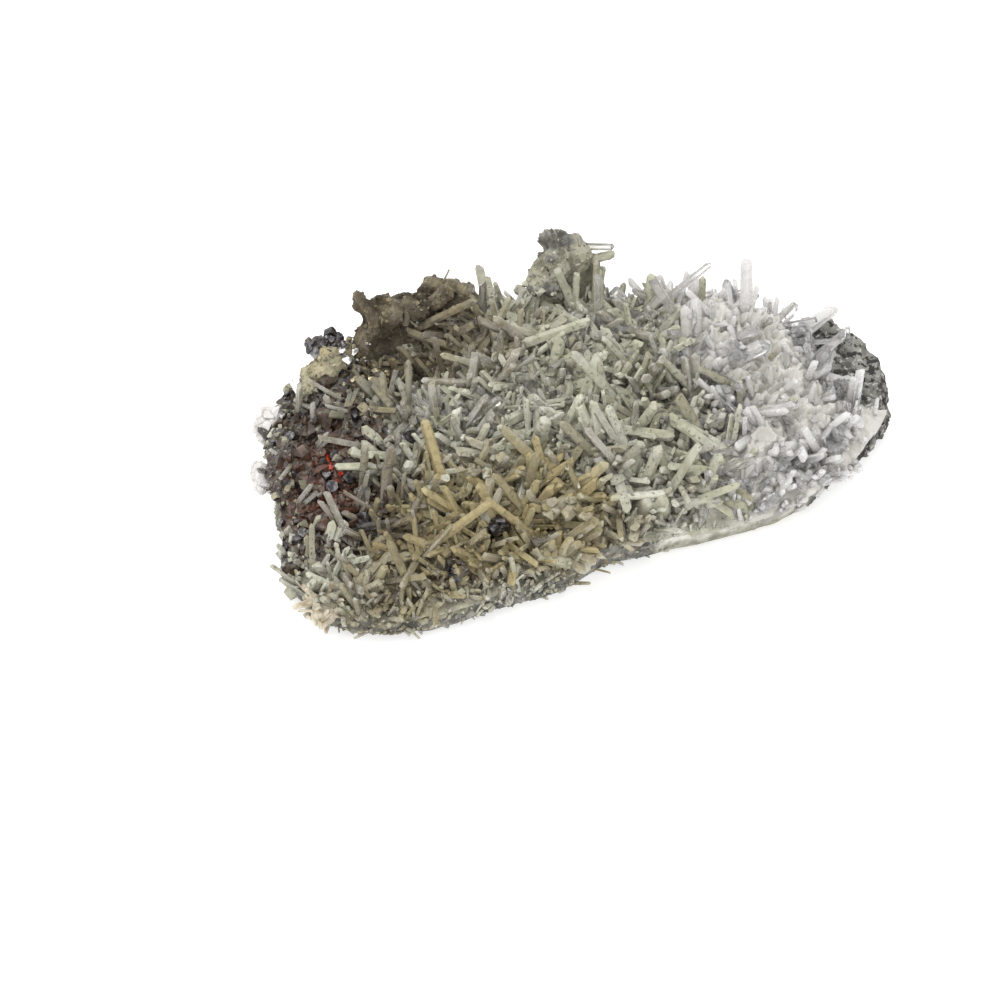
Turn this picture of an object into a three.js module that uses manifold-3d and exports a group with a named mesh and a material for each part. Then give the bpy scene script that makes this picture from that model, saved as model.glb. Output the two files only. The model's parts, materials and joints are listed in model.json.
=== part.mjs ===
// A cabinet-size quartz specimen: a broken wedge of dark vein rock that carries
// a druse of quartz prisms, a crust of sphalerite at one end, cubes of galena, a
// nest of pyrite, a few lumps of calcite, and the larger quartz crystals that
// stand clear of the druse.
// Millimetres, +Z up, X along the specimen. The origin is on the flat underside,
// below the middle.

import * as THREE from "three";
import { ConvexGeometry } from "three/addons/geometries/ConvexGeometry.js";
import { mergeVertices } from "three/addons/utils/BufferGeometryUtils.js";
import Module from "manifold-3d";

const wasm = await Module();
wasm.setup();

// ---- driving dimensions ----------------------------------------------------

const GAP = 0.35; // between pieces that touch
const HUB = [0, -3]; // middle of the grids that the rock is drawn on
const SECTORS = 72;
const MID_HEIGHT = 16; // the rock above its underside, at Y = 0
const SLOPE = 0.2; // it thickens towards the back
const EDGE_DROP = 2.5; // and falls away this much at its broken edge
const RIM_INSET = 1.2; // the druse overhangs the rock by about this much
const DRUSE_DEPTH = 7; // rock surface to the tips of the small crystals
const EDGE_DEPTH = 4.5; // the same at the rim
const CRUST_DEPTH = 4.5; // thickness of the sphalerite crust
const TIP_SHARE = 0.75; // pyramid height over crystal width
const TAPER = 0.93; // width under the pyramid over width at the root
const FLATTENING = 0.85; // thickness over width

// The outline from above, anticlockwise from the right-hand tip.
const OUTLINE = [
  [77, -11], [75, -3], [70, 4], [61, 9], [52, 15], [45, 23], [36, 26],
  [25, 27], [12, 31], [2, 34], [-8, 38], [-20, 41], [-32, 40], [-40, 33],
  [-50, 34], [-58, 31], [-66, 28], [-68, 17], [-73, 3], [-73, -6],
  [-77, -12], [-77, -22], [-73, -32], [-63, -39], [-51, -42], [-38, -41],
  [-22, -42], [-10, -39], [4, -40], [20, -41], [36, -41], [47, -37],
  [59, -31], [71, -23],
];

// Swells and hollows of the rock: middle, height, and spread along X and Y.
const SWELLS = [
  { at: [-16, 7], height: 2.5, spread: [18, 9] }, // crest
  { at: [4, -8], height: 4, spread: [26, 17] }, // dome in the middle
  { at: [-29, 21], height: -10, spread: [11, 8] }, // hollow
  { at: [-64, -4], height: -6, spread: [16, 26] }, // sphalerite end
  { at: [-66, 27], height: -7, spread: [11, 10] }, // slope below the left knob
  { at: [70, -8], height: -3, spread: [16, 14] }, // thin right-hand end
  { at: [70, 3], height: 4, spread: [8, 6] }, // bare knuckle of rock at the tip
];

// Zones seen from above: the sphalerite end, and the tip with no quartz on it.
const SPHALERITE_ZONE = [
  [-90, 45], [-57, 45], [-53, 27], [-44, 22], [-43, 8], [-48, -4],
  [-51, -14], [-60, -18], [-90, -16],
];
const BARE_TIP = [[68, -40], [65, -22], [69, -8], [63, 4], [66, 20], [95, 20], [95, -40]];

// Blocky knobs of the rock that stand up through the druse.
const KNOBS = [
  { at: [11, 31, 30], radii: [9, 6.5, 15.5], seed: 3 }, // the highest point
  { at: [-20, 36, 21], radii: [13, 7, 12], seed: 5 },
  { at: [-34, 35, 22], radii: [6.5, 5.5, 11], seed: 8 },
  { at: [-50, 29, 17], radii: [8, 6, 11], seed: 4 },
];

// Lumps of other minerals that grew on the rock.
const LUMPS = [
  { name: "galena_cap", slot: "galena", at: [-48, 31, 27], radii: [5, 3, 2.6], seed: 2 },
  { name: "pyrite_nest", slot: "pyrite", at: [-39, 23, 19], radii: [5, 4, 3.5], seed: 6 },
  { name: "calcite_back", slot: "calcite", at: [-62, 27, 12], radii: [5.5, 4.5, 4.5], seed: 11 },
  { name: "calcite_side", slot: "calcite", at: [-69.5, 14, 8], radii: [4, 5, 4], seed: 12 },
  { name: "calcite_corner", slot: "calcite", at: [-72.5, -29, 6], radii: [4.5, 5, 4], seed: 13 },
];

// Cubes of galena half sunk in the druse.
const CUBES = [
  { name: "galena_cube_1", at: [-41.5, 1.5, 20], size: 4.4, turn: [20, 35, 10] },
  { name: "galena_cube_2", at: [-46, -9, 17], size: 4, turn: [40, 10, 25] },
  { name: "galena_cube_3", at: [-30.5, -28.5, 15], size: 4.4, turn: [15, 50, 30] },
  { name: "galena_cube_4", at: [-43.5, -34, 11.5], size: 4, turn: [35, 25, 5] },
];

// Large quartz crystals: root, the way they lean (azimuth from +X and lean from
// upright, in degrees), length, and width across corners. Their meshes' names
// have crystal_ in front. These are clear or milky.
const CLEAR_CRYSTALS = [
  { name: "grey_upright", root: [13, 13.5, 21], azimuth: 70, lean: 15, length: 17, width: 3 },
  { name: "knob_side_high", root: [18, 31, 34], azimuth: -45, lean: 75, length: 7, width: 2 },
  { name: "back_left", root: [-10.5, 26.5, 22], azimuth: 65, lean: 20, length: 13, width: 2.3 },
  { name: "back_spike", root: [31, 17.5, 23], azimuth: -10, lean: 50, length: 15, width: 2.3 },
  { name: "ridge_lying", root: [45, 19.5, 19], azimuth: -45, lean: 75, length: 12, width: 1.8 },
  { name: "ridge_upright", root: [56, -2.5, 15], azimuth: 35, lean: 25, length: 10.5, width: 2.3 },
  { name: "clear_blade", root: [31.5, -5, 19], azimuth: -20, lean: 60, length: 16.5, width: 4.1 },
  { name: "clear_upright", root: [42.5, -16.5, 13.5], azimuth: 80, lean: 10, length: 12, width: 2.3 },
  { name: "bright_point", root: [41.5, -19, 13], azimuth: -10, lean: 30, length: 10.5, width: 2 },
  { name: "milky_leaning", root: [55, -14.5, 13], azimuth: 10, lean: 20, length: 12.5, width: 2.7 },
  { name: "end_upright", root: [68.5, -5, 12], azimuth: 75, lean: 25, length: 7, width: 1.5 },
  { name: "bright_upright", root: [7, -18.5, 16.5], azimuth: 65, lean: 10, length: 12.5, width: 1.8 },
  { name: "grey_post", root: [-13, 11, 21.5], azimuth: 65, lean: 10, length: 11, width: 2 },
  { name: "bluish_stub", root: [16, -35, 9.5], azimuth: -115, lean: 70, length: 8, width: 3.2 },
  { name: "glassy_bar", root: [-15.5, -33.5, 11.5], azimuth: -170, lean: 80, length: 12.5, width: 2.7 },
  { name: "clear_double", root: [-58, -14, 12], azimuth: -40, lean: 65, length: 10, width: 2.3 },
];

// These have a coat of fine khaki or ochre clay on the sides that face up.
const COATED_CRYSTALS = [
  // on and round the highest knob
  { name: "knob_foot", root: [3.5, 34.5, 22.5], azimuth: -75, lean: 80, length: 21, width: 2.7 },
  { name: "knob_leaning", root: [11.5, 21, 22], azimuth: 155, lean: 20, length: 17, width: 2.5 },
  { name: "knob_side_low", root: [17.5, 30, 31], azimuth: -30, lean: 70, length: 7, width: 2.3 },
  // back edge
  { name: "grey_brown", root: [-23, 31.5, 24], azimuth: -30, lean: 55, length: 15, width: 2.3 },
  { name: "back_point", root: [27, 17.5, 20.5], azimuth: 50, lean: 25, length: 11.5, width: 2.7 },
  // middle
  { name: "crossing", root: [-5.5, 16, 24], azimuth: -25, lean: 65, length: 17.5, width: 2.5 },
  { name: "long_slanted", root: [8.5, -9, 20], azimuth: 145, lean: 40, length: 19, width: 2.7 },
  { name: "khaki_upright", root: [13.5, -5.5, 19.5], azimuth: 20, lean: 20, length: 11.5, width: 2 },
  { name: "khaki_slanted", root: [26, -10, 19], azimuth: 150, lean: 40, length: 13, width: 2.3 },
  { name: "long_thin", root: [39, -15, 17], azimuth: 160, lean: 55, length: 17, width: 2.3 },
  { name: "broad_pale", root: [22.5, -22.5, 15], azimuth: 135, lean: 30, length: 15, width: 3.4 },
  { name: "blunt", root: [-2.5, -19.5, 16.5], azimuth: 150, lean: 40, length: 14, width: 2.7 },
  { name: "pale_slanted", root: [4.5, -20, 16.5], azimuth: 125, lean: 25, length: 13, width: 2.5 },
  { name: "pair_left", root: [0.5, -23, 15], azimuth: -20, lean: 35, length: 11.5, width: 2.7 },
  { name: "pair_right", root: [4.5, -28, 12.5], azimuth: 0, lean: 20, length: 12, width: 3 },
  { name: "green_fan", root: [-11, -24, 13.5], azimuth: -25, lean: 40, length: 12, width: 3 },
  // front edge
  { name: "front_bar", root: [6, -34, 15.5], azimuth: 170, lean: 85, length: 12.5, width: 2 },
  { name: "hollow_block", root: [18.5, -32, 10], azimuth: 0, lean: 20, length: 10.5, width: 3.4 },
  { name: "cream_block", root: [43.5, -35, 9], azimuth: -170, lean: 80, length: 13, width: 3 },
  { name: "amber_blade", root: [-16.5, -39.5, 7], azimuth: 170, lean: 65, length: 13, width: 3.2 },
  // left-hand half
  { name: "ochre_slanted", root: [-14.5, -18, 16], azimuth: 150, lean: 40, length: 16, width: 2.7 },
  { name: "ochre_arm", root: [-21.5, -21.5, 13], azimuth: 10, lean: 15, length: 13.5, width: 2.5 },
  { name: "ochre_upright", root: [-30.5, -3, 17.5], azimuth: 45, lean: 10, length: 10.5, width: 2.3 },
  { name: "brown_bar", root: [-22.5, -27.5, 12.5], azimuth: 145, lean: 35, length: 15, width: 2.5 },
  { name: "tan_bar", root: [-24.5, -31, 12.5], azimuth: 155, lean: 45, length: 14, width: 2 },
  { name: "tan_branch", root: [-45.5, -26, 12.5], azimuth: -25, lean: 45, length: 18.5, width: 2.3 },
  { name: "tan_blade", root: [-54, -32.5, 8.5], azimuth: 125, lean: 25, length: 12.5, width: 2.3 },
  { name: "khaki_post", root: [-53.5, -4.5, 12], azimuth: 45, lean: 10, length: 13.5, width: 2 },
  { name: "grey_green", root: [-46, 13.5, 18], azimuth: 175, lean: 65, length: 9.5, width: 2 },
];

// ---- helpers ---------------------------------------------------------------

const GOLDEN_ANGLE = Math.PI * (3 - Math.sqrt(5));

const mix = (a, b, t) => a + (b - a) * t;

function smooth(low, high, value) {
  const t = Math.min(1, Math.max(0, (value - low) / (high - low)));
  return t * t * (3 - 2 * t);
}

function swell(x, y, { at, height, spread }) {
  const u = (x - at[0]) / spread[0];
  const v = (y - at[1]) / spread[1];
  return height * Math.exp(-(u * u + v * v));
}

// A fixed wavy roughness between about -1 and 1, with waves of the given size.
function ripple(x, y, size, seed) {
  const slow = Math.sin(x / size + 1.7 * seed) * Math.cos((1.3 * y) / size + 2.9 * seed);
  const quick = Math.sin((2.3 * x - 1.1 * y) / size + seed) * Math.cos((1.7 * x + 2.1 * y) / size);
  return 0.6 * slow + 0.4 * quick;
}

const curve = new THREE.CatmullRomCurve3(
  OUTLINE.map(([x, y]) => new THREE.Vector3(x - HUB[0], y - HUB[1], 0)),
  true,
  "centripetal",
);
const rimPoints = curve
  .getPoints(720)
  .slice(0, -1)
  .map((p) => ({ angle: (Math.atan2(p.y, p.x) + 2 * Math.PI) % (2 * Math.PI), reach: p.length() }))
  .sort((a, b) => a.angle - b.angle);

// Distance from the hub to the outline in one direction.
function outlineReach(angle) {
  const turn = ((angle % (2 * Math.PI)) + 2 * Math.PI) % (2 * Math.PI);
  const after = rimPoints.find((p) => p.angle >= turn) ?? rimPoints[0];
  const before = rimPoints.findLast((p) => p.angle < turn) ?? rimPoints.at(-1);
  const span = (after.angle - before.angle + 2 * Math.PI) % (2 * Math.PI) || 1;
  const part = ((turn - before.angle + 2 * Math.PI) % (2 * Math.PI)) / span;
  return mix(before.reach, after.reach, part);
}

const rockReach = (angle) => outlineReach(angle) - RIM_INSET;

// How far inside the rock's edge a point lies: 0 at the edge, 1 at the hub.
function inside(x, y) {
  const dx = x - HUB[0];
  const dy = y - HUB[1];
  return 1 - Math.hypot(dx, dy) / rockReach(Math.atan2(dy, dx));
}

function rockTop(x, y) {
  const plateau = SWELLS.reduce((z, s) => z + swell(x, y, s), MID_HEIGHT + SLOPE * y);
  return plateau + 0.8 * ripple(x, y, 9, 2) - EDGE_DROP * (1 - smooth(0, 0.3, inside(x, y)));
}

function druseTop(x, y) {
  const depth = mix(EDGE_DEPTH, DRUSE_DEPTH, smooth(0, 0.3, inside(x, y)));
  return rockTop(x, y) + depth + 0.8 * ripple(x, y, 7, 4);
}

function sphaleriteTop(x, y) {
  const step = Math.round(1.4 * ripple(x, y, 8, 7)); // like cleaved blocks
  return rockTop(x, y) + CRUST_DEPTH + 0.9 * step;
}

// ---- shapes ----------------------------------------------------------------

// A closed mesh from layers of rings. They run from the middle of the underside,
// out and round the rim, and back to the middle of the top. A layer gives its
// share of the rock's reach, how far it stands out past that, and its height.
// Every quad is cut from its outer corner to its inner one the same way, so two
// pieces that share a surface keep one gap all over.
function ringGeometry(layers) {
  const positions = [];
  const indices = [];
  for (const { share, out = 0, height } of layers) {
    for (let k = 0; k < (share ? SECTORS : 1); k++) {
      const angle = (2 * Math.PI * k) / SECTORS;
      const radius = share ? share * rockReach(angle) + out : 0;
      const x = HUB[0] + radius * Math.cos(angle);
      const y = HUB[1] + radius * Math.sin(angle);
      positions.push(x, y, height(x, y));
    }
  }
  const rings = layers.length - 2;
  const top = 1 + rings * SECTORS;
  const at = (ring, k) => 1 + ring * SECTORS + (k % SECTORS);
  for (let k = 0; k < SECTORS; k++) {
    indices.push(0, at(0, k + 1), at(0, k));
    for (let i = 0; i + 1 < rings; i++) {
      const [a, b, c, d] = [at(i, k), at(i, k + 1), at(i + 1, k + 1), at(i + 1, k)];
      const inwards = layers[i + 1].share >= layers[i + 2].share;
      indices.push(...(inwards ? [a, b, c, a, c, d] : [a, b, d, b, c, d]));
    }
    indices.push(top, at(rings - 1, k), at(rings - 1, k + 1));
  }
  const geometry = new THREE.BufferGeometry();
  geometry.setAttribute("position", new THREE.Float32BufferAttribute(positions, 3));
  geometry.setIndex(indices);
  return geometry;
}

const INNER_SHARES = [0.24, 0.42, 0.58, 0.72, 0.84, 0.93];
const EDGE_SHARE = 0.975; // the rock's top edge

// The wedge of rock: flat below, with a rough rim that is undercut a little.
// grow makes it larger all round, for cutting its neighbours.
function wedgeGeometry(grow = 0) {
  const flat = () => -grow;
  const top = (x, y) => rockTop(x, y) + grow;
  return ringGeometry([
    { share: 0, height: flat },
    { share: 0.5, height: flat },
    { share: 0.9, height: flat },
    { share: 0.97, out: grow, height: (x, y) => 0.9 + 0.5 * ripple(x, y, 8, 3) - grow },
    { share: 1, out: grow, height: (x, y) => 0.35 * rockTop(x, y) },
    { share: 0.99, out: grow, height: (x, y) => 0.75 * rockTop(x, y) },
    { share: EDGE_SHARE, out: grow, height: top },
    ...INNER_SHARES.toReversed().map((share) => ({ share, height: top })),
    { share: 0, height: top },
  ]);
}

// A crust that lies on the rock and overhangs its edge.
function crustGeometry(topHeight) {
  const under = (x, y) => rockTop(x, y) + GAP;
  const lower = INNER_SHARES.map((share) => ({ share, height: under }));
  const upper = [0.9, 0.78, 0.64, 0.48, 0.3, 0.14].map((share) => ({ share, height: topHeight }));
  return ringGeometry([
    { share: 0, height: under },
    ...lower,
    { share: EDGE_SHARE, height: under },
    { share: 1, out: 0.8, height: (x, y) => rockTop(x, y) + 1 },
    { share: 1, out: RIM_INSET, height: (x, y) => topHeight(x, y) - 1.8 },
    { share: EDGE_SHARE, height: topHeight },
    ...upper,
    { share: 0, height: topHeight },
  ]);
}

// A blocky lump: the hull of a few uneven points spread round a ball.
function lumpGeometry({ at, radii, seed }, grow = 0) {
  const count = 26;
  const points = Array.from({ length: count }, (_, i) => {
    const turn = i * GOLDEN_ANGLE + seed;
    const rise = 1 - (2 * i + 1) / count;
    const flat = Math.sqrt(1 - rise * rise);
    const reach = 0.88 + 0.16 * Math.sin(7.3 * i + 3.1 * seed);
    return new THREE.Vector3(
      at[0] + flat * Math.cos(turn) * (reach * radii[0] + grow),
      at[1] + flat * Math.sin(turn) * (reach * radii[1] + grow),
      at[2] + rise * (reach * radii[2] + grow),
    );
  });
  return new ConvexGeometry(points);
}

function cubeGeometry({ at, size, turn }, grow = 0) {
  const edge = size + 2 * grow;
  const angles = turn.map(THREE.MathUtils.degToRad);
  return new THREE.BoxGeometry(edge, edge, edge)
    .applyMatrix4(new THREE.Matrix4().makeRotationFromEuler(new THREE.Euler(...angles)))
    .translate(...at);
}

// A six-sided prism with a pyramid on top, its root at the origin along +Y.
function prismGeometry(length, width) {
  const radius = width / 2;
  const profile = [
    [0, 0],
    [radius, 0],
    [radius * TAPER, length - TIP_SHARE * width],
    [0, length],
  ];
  return new THREE.LatheGeometry(profile.map(([x, y]) => new THREE.Vector2(x, y)), 6);
}

// A large crystal as a solid, placed by its root, lean and azimuth.
function crystalSolid({ root, azimuth, lean, length, width }, grow = 0) {
  const mesh = new THREE.Mesh(prismGeometry(length + 2 * grow, width));
  const leanBy = THREE.MathUtils.degToRad(lean);
  const turnBy = THREE.MathUtils.degToRad(azimuth);
  const way = new THREE.Vector3(
    Math.sin(leanBy) * Math.cos(turnBy),
    Math.sin(leanBy) * Math.sin(turnBy),
    Math.cos(leanBy),
  );
  mesh.position.set(...root).addScaledVector(way, -grow);
  mesh.quaternion.setFromUnitVectors(new THREE.Vector3(0, 1, 0), way);
  const wider = (2.4 * grow) / width;
  mesh.scale.set(1 + wider, 1, FLATTENING + wider);
  mesh.updateMatrixWorld();
  return solidOf(mesh.geometry, mesh.matrixWorld);
}

// ---- to and from exact solids, for the joins and cuts ----------------------

function solidOf(geometry, matrix = new THREE.Matrix4()) {
  const bare = new THREE.BufferGeometry();
  bare.setAttribute("position", geometry.attributes.position.clone());
  if (geometry.index) bare.setIndex(geometry.index.clone());
  bare.applyMatrix4(matrix);
  const merged = mergeVertices(bare, 1e-3);
  return new wasm.Manifold(
    new wasm.Mesh({
      numProp: 3,
      vertProperties: merged.attributes.position.array,
      triVerts: new Uint32Array(merged.index.array),
    }),
  );
}

// The largest body of a solid: slivers that a cut leaves over are dropped.
function largest(solid) {
  return solid.decompose().reduce((a, b) => (a.volume() > b.volume() ? a : b));
}

function geometryOf(solid) {
  const mesh = solid.getMesh();
  const geometry = new THREE.BufferGeometry();
  geometry.setAttribute("position", new THREE.BufferAttribute(mesh.vertProperties, 3));
  geometry.setIndex(new THREE.BufferAttribute(mesh.triVerts, 1));
  geometry.computeVertexNormals();
  return geometry;
}

// A tall column over a zone of the plan, moved outwards by grow.
function zoneSolid(points, grow = 0) {
  const middle = points
    .reduce((sum, [x, y]) => sum.add(new THREE.Vector2(x, y)), new THREE.Vector2())
    .divideScalar(points.length);
  const outline = points.map(([x, y]) => {
    const way = new THREE.Vector2(x, y).sub(middle);
    return way.setLength(way.length() + grow).add(middle);
  });
  const column = new THREE.ExtrudeGeometry(new THREE.Shape(outline), {
    depth: 80,
    bevelEnabled: false,
  });
  return solidOf(column, new THREE.Matrix4().makeTranslation(0, 0, -10));
}

// ---- materials -------------------------------------------------------------

const material = (color, roughness, metalness = 0) =>
  new THREE.MeshStandardMaterial({ color, roughness, metalness, flatShading: true });

const materials = {
  vein_rock: material(0x6f6b5c, 0.9),
  sphalerite: material(0x3a2a24, 0.35),
  galena: material(0x6f7074, 0.3, 0.8),
  pyrite: material(0xa8905a, 0.35, 0.8),
  calcite: material(0xe8e4de, 0.5),
  quartz_druse: material(0x9a977f, 0.6),
  quartz_clear: material(0xc9c8c6, 0.15),
  quartz_coated: material(0xa8a488, 0.6),
};

// ---- the specimen ----------------------------------------------------------

const specimen = new THREE.Group();

function add(name, slot, solid) {
  const mesh = new THREE.Mesh(geometryOf(solid), materials[slot]);
  mesh.name = name;
  specimen.add(mesh);
}

// The wedge with its knobs grown out by a distance.
function rockSolid(grow = 0) {
  return KNOBS.reduce(
    (rock, knob) => rock.add(solidOf(lumpGeometry(knob, grow))),
    solidOf(wedgeGeometry(grow)),
  );
}
add("rock_matrix", "vein_rock", rockSolid());

// What each piece is cut by: the rock and every piece before it.
let cutter = rockSolid(GAP);

for (const lump of LUMPS) {
  add(lump.name, lump.slot, largest(solidOf(lumpGeometry(lump)).subtract(cutter)));
  cutter = cutter.add(solidOf(lumpGeometry(lump, GAP)));
}
for (const cube of CUBES) {
  add(cube.name, "galena", largest(solidOf(cubeGeometry(cube)).subtract(cutter)));
  cutter = cutter.add(solidOf(cubeGeometry(cube, GAP)));
}
const rockAndLumps = cutter;

for (const [slot, crystals] of [
  ["quartz_clear", CLEAR_CRYSTALS],
  ["quartz_coated", COATED_CRYSTALS],
]) {
  for (const crystal of crystals) {
    add("crystal_" + crystal.name, slot, largest(crystalSolid(crystal).subtract(rockAndLumps)));
    cutter = cutter.add(crystalSolid(crystal, GAP));
  }
}

const sphaleriteZone = zoneSolid(SPHALERITE_ZONE);
const notDruse = zoneSolid(SPHALERITE_ZONE, GAP).add(zoneSolid(BARE_TIP)).add(cutter);
add("quartz_druse", "quartz_druse", largest(solidOf(crustGeometry(druseTop)).subtract(notDruse)));
add(
  "sphalerite_crust",
  "sphalerite",
  largest(solidOf(crustGeometry(sphaleriteTop)).intersect(sphaleriteZone).subtract(cutter)),
);

export default specimen;
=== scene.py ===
# %% [markdown]
# # A quartz specimen
# A broken wedge of dark vein rock, about 15 cm long, carries a crust of slender quartz
# crystals. One end is dark with sphalerite, galena and pyrite, and a few white lumps of
# calcite sit on its edge. Fine clay settled on the crystals while they grew, so their
# upper sides are matt khaki or ochre and their undersides are still glassy.
#
# The solid model of the specimen is loaded first and stays fixed. Everything below is
# built round it, in metres: the rock's broken surface, the crystals, the ores, and the
# finishes. Tables and paint work in millimetres.

import json
import math

import bmesh
import bpy
import numpy as np
from mathutils import Matrix, Vector

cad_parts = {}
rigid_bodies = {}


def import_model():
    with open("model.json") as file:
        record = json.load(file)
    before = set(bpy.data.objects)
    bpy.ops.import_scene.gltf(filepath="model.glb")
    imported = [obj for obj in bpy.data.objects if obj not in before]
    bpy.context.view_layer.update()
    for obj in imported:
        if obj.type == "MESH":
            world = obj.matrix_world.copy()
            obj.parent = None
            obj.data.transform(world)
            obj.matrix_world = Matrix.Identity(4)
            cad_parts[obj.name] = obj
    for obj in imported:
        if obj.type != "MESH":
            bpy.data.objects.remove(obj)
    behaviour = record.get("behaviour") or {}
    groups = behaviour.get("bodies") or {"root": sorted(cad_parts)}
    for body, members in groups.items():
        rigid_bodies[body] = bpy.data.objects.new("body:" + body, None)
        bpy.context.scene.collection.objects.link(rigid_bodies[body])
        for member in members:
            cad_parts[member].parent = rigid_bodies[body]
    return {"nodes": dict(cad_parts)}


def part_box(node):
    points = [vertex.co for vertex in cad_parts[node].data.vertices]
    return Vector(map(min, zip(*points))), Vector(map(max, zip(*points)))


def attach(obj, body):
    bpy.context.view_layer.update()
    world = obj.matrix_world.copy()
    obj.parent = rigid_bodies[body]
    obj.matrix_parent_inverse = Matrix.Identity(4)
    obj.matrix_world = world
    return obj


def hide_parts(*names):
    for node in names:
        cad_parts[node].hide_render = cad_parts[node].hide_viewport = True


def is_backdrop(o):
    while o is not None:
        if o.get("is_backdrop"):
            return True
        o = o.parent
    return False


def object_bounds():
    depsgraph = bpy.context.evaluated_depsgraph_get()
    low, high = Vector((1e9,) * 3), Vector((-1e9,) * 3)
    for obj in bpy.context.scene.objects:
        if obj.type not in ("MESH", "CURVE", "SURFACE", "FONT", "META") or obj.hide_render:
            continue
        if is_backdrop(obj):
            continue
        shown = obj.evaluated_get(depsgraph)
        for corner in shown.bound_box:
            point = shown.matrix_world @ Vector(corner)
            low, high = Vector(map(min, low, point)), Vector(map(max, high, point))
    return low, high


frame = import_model()
cad_low, cad_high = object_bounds()
MM = 0.001


def in_mm(size):
    return [round(float(side) / MM, 1) for side in size]


print("the frame:", len(frame["nodes"]), "nodes,", in_mm(cad_high - cad_low), "mm")

# %% [markdown]
# ## Helpers for nodes
# A node tree is easier to read as a formula. `put` adds a node, fills or links its inputs,
# and returns its first output as a term. Terms add and multiply like numbers, and each
# sum makes a node. The sockets that a node hides in its present mode are skipped.

# %% Terms
class Term:
    """A node's output that can be used like a number or a vector."""

    def __init__(self, tree, socket):
        self.tree, self.socket = tree, socket
        self.is_vector = socket is not None and socket.type in ("VECTOR", "RGBA")

    def output(self, name):
        """Another output of the same node."""
        return Term(self.tree, self.socket.node.outputs[name])

    def ease(self, low, high, to_low=0.0, to_high=1.0):
        """A smooth step from `to_low` at `low` to `to_high` at `high`."""
        limits = {"From Min": low, "From Max": high, "To Min": to_low, "To Max": to_high}
        inputs = {"Value": self, **limits}
        return put(self.tree, "ShaderNodeMapRange", inputs, interpolation_type="SMOOTHSTEP")

    def mix(self, first, second):
        """The first colour where this is 0 and the second where it is 1."""
        tints = [linear(*tint) if isinstance(tint, tuple) else tint for tint in (first, second)]
        return put(self.tree, "ShaderNodeMix", dict(enumerate([self, *tints])), data_type="RGBA")

    def __add__(self, other):
        return maths("ADD", self, other)

    def __sub__(self, other):
        return maths("SUBTRACT", self, other)

    def __rsub__(self, other):
        return maths("SUBTRACT", other, self)

    def __rtruediv__(self, other):
        return maths("DIVIDE", other, self)

    def __lt__(self, other):
        return maths("LESS_THAN", self, other)

    def __gt__(self, other):
        return maths("GREATER_THAN", self, other)

    def __mul__(self, other):
        if self.is_vector:
            inputs = {0: self, "Scale": other}
            return put(self.tree, "ShaderNodeVectorMath", inputs, operation="SCALE")
        return maths("MULTIPLY", self, other)


def feed(tree, socket, value):
    """Links a term to the socket, or writes a plain value on it."""
    if isinstance(value, Term):
        tree.links.new(value.socket, socket)
    else:
        socket.default_value = value


def put(tree, kind, inputs=None, **settings):
    node = tree.nodes.new(kind)
    for name, value in settings.items():
        setattr(node, name, value)
    shown = [s for s in node.inputs if s.enabled]
    for key, value in (inputs or {}).items():
        socket = shown[key] if isinstance(key, int) else next(s for s in shown if s.name == key)
        feed(tree, socket, value)
    return Term(tree, next((s for s in node.outputs if s.enabled), None))


def maths(operation, *values):
    """A maths node on these values, a vector one if any of them is a vector."""
    terms = [value for value in values if isinstance(value, Term)]
    kind = "ShaderNodeVectorMath" if any(term.is_vector for term in terms) else "ShaderNodeMath"
    return put(terms[0].tree, kind, dict(enumerate(values)), operation=operation)


def linear(red, green, blue):
    """A colour as a screen shows it, 0 to 255, turned into light."""
    parts = [c / 255 for c in (red, green, blue)]
    return tuple(c / 12.92 if c < 0.04 else ((c + 0.055) / 1.055) ** 2.4 for c in parts) + (1.0,)


# %% Geometry trees
KINDS = {float: "Float", int: "Int", tuple: "Vector"}


def geometry_tree(name, sockets):
    """A tree and its inputs as terms. Each extra input has a type or a default value."""
    tree = bpy.data.node_groups.new(name, "GeometryNodeTree")
    for way in ("INPUT", "OUTPUT"):
        tree.interface.new_socket("Geometry", in_out=way, socket_type="NodeSocketGeometry")
    for label, value in sockets.items():
        kind = KINDS.get(type(value), value)
        socket = tree.interface.new_socket(label, in_out="INPUT", socket_type="NodeSocket" + kind)
        if value != kind:
            socket.default_value = value
    return tree, {s.name: Term(tree, s) for s in tree.nodes.new("NodeGroupInput").outputs}


def hand_back(term):
    """Makes this term the tree's result."""
    feed(term.tree, term.tree.nodes.new("NodeGroupOutput").inputs[0], term)


def named(tree, name):
    return put(tree, "GeometryNodeInputNamedAttribute", {"Name": name}, data_type="FLOAT")


def position(tree):
    return put(tree, "GeometryNodeInputPosition")


def normal(tree):
    return put(tree, "GeometryNodeInputNormal")


def clouds(place, scale, detail):
    inputs = {"Vector": place, "Scale": scale, "Detail": detail}
    return put(place.tree, "ShaderNodeTexNoise", inputs)


def cells(place, scale):
    return put(place.tree, "ShaderNodeTexVoronoi", {"Vector": place, "Scale": scale})


def moved(geometry, offset):
    return put(geometry.tree, "GeometryNodeSetPosition", {"Geometry": geometry, "Offset": offset})


def store(geometry, name, value, domain="POINT"):
    inputs = {"Geometry": geometry, "Name": name, "Value": value}
    kind = "GeometryNodeStoreNamedAttribute"
    return put(geometry.tree, kind, inputs, data_type="FLOAT", domain=domain)


def covered(geometry, material, **where):
    inputs = {"Geometry": geometry, "Material": material, **where}
    return put(geometry.tree, "GeometryNodeSetMaterial", inputs)


# %% [markdown]
# ## Helpers for meshes
# A tree runs on a mesh through a modifier, and only the mesh that comes out is kept. What
# the trees need to know about a place, such as how dense the crystals stand, is painted on
# the mesh as one number per vertex.

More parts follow.
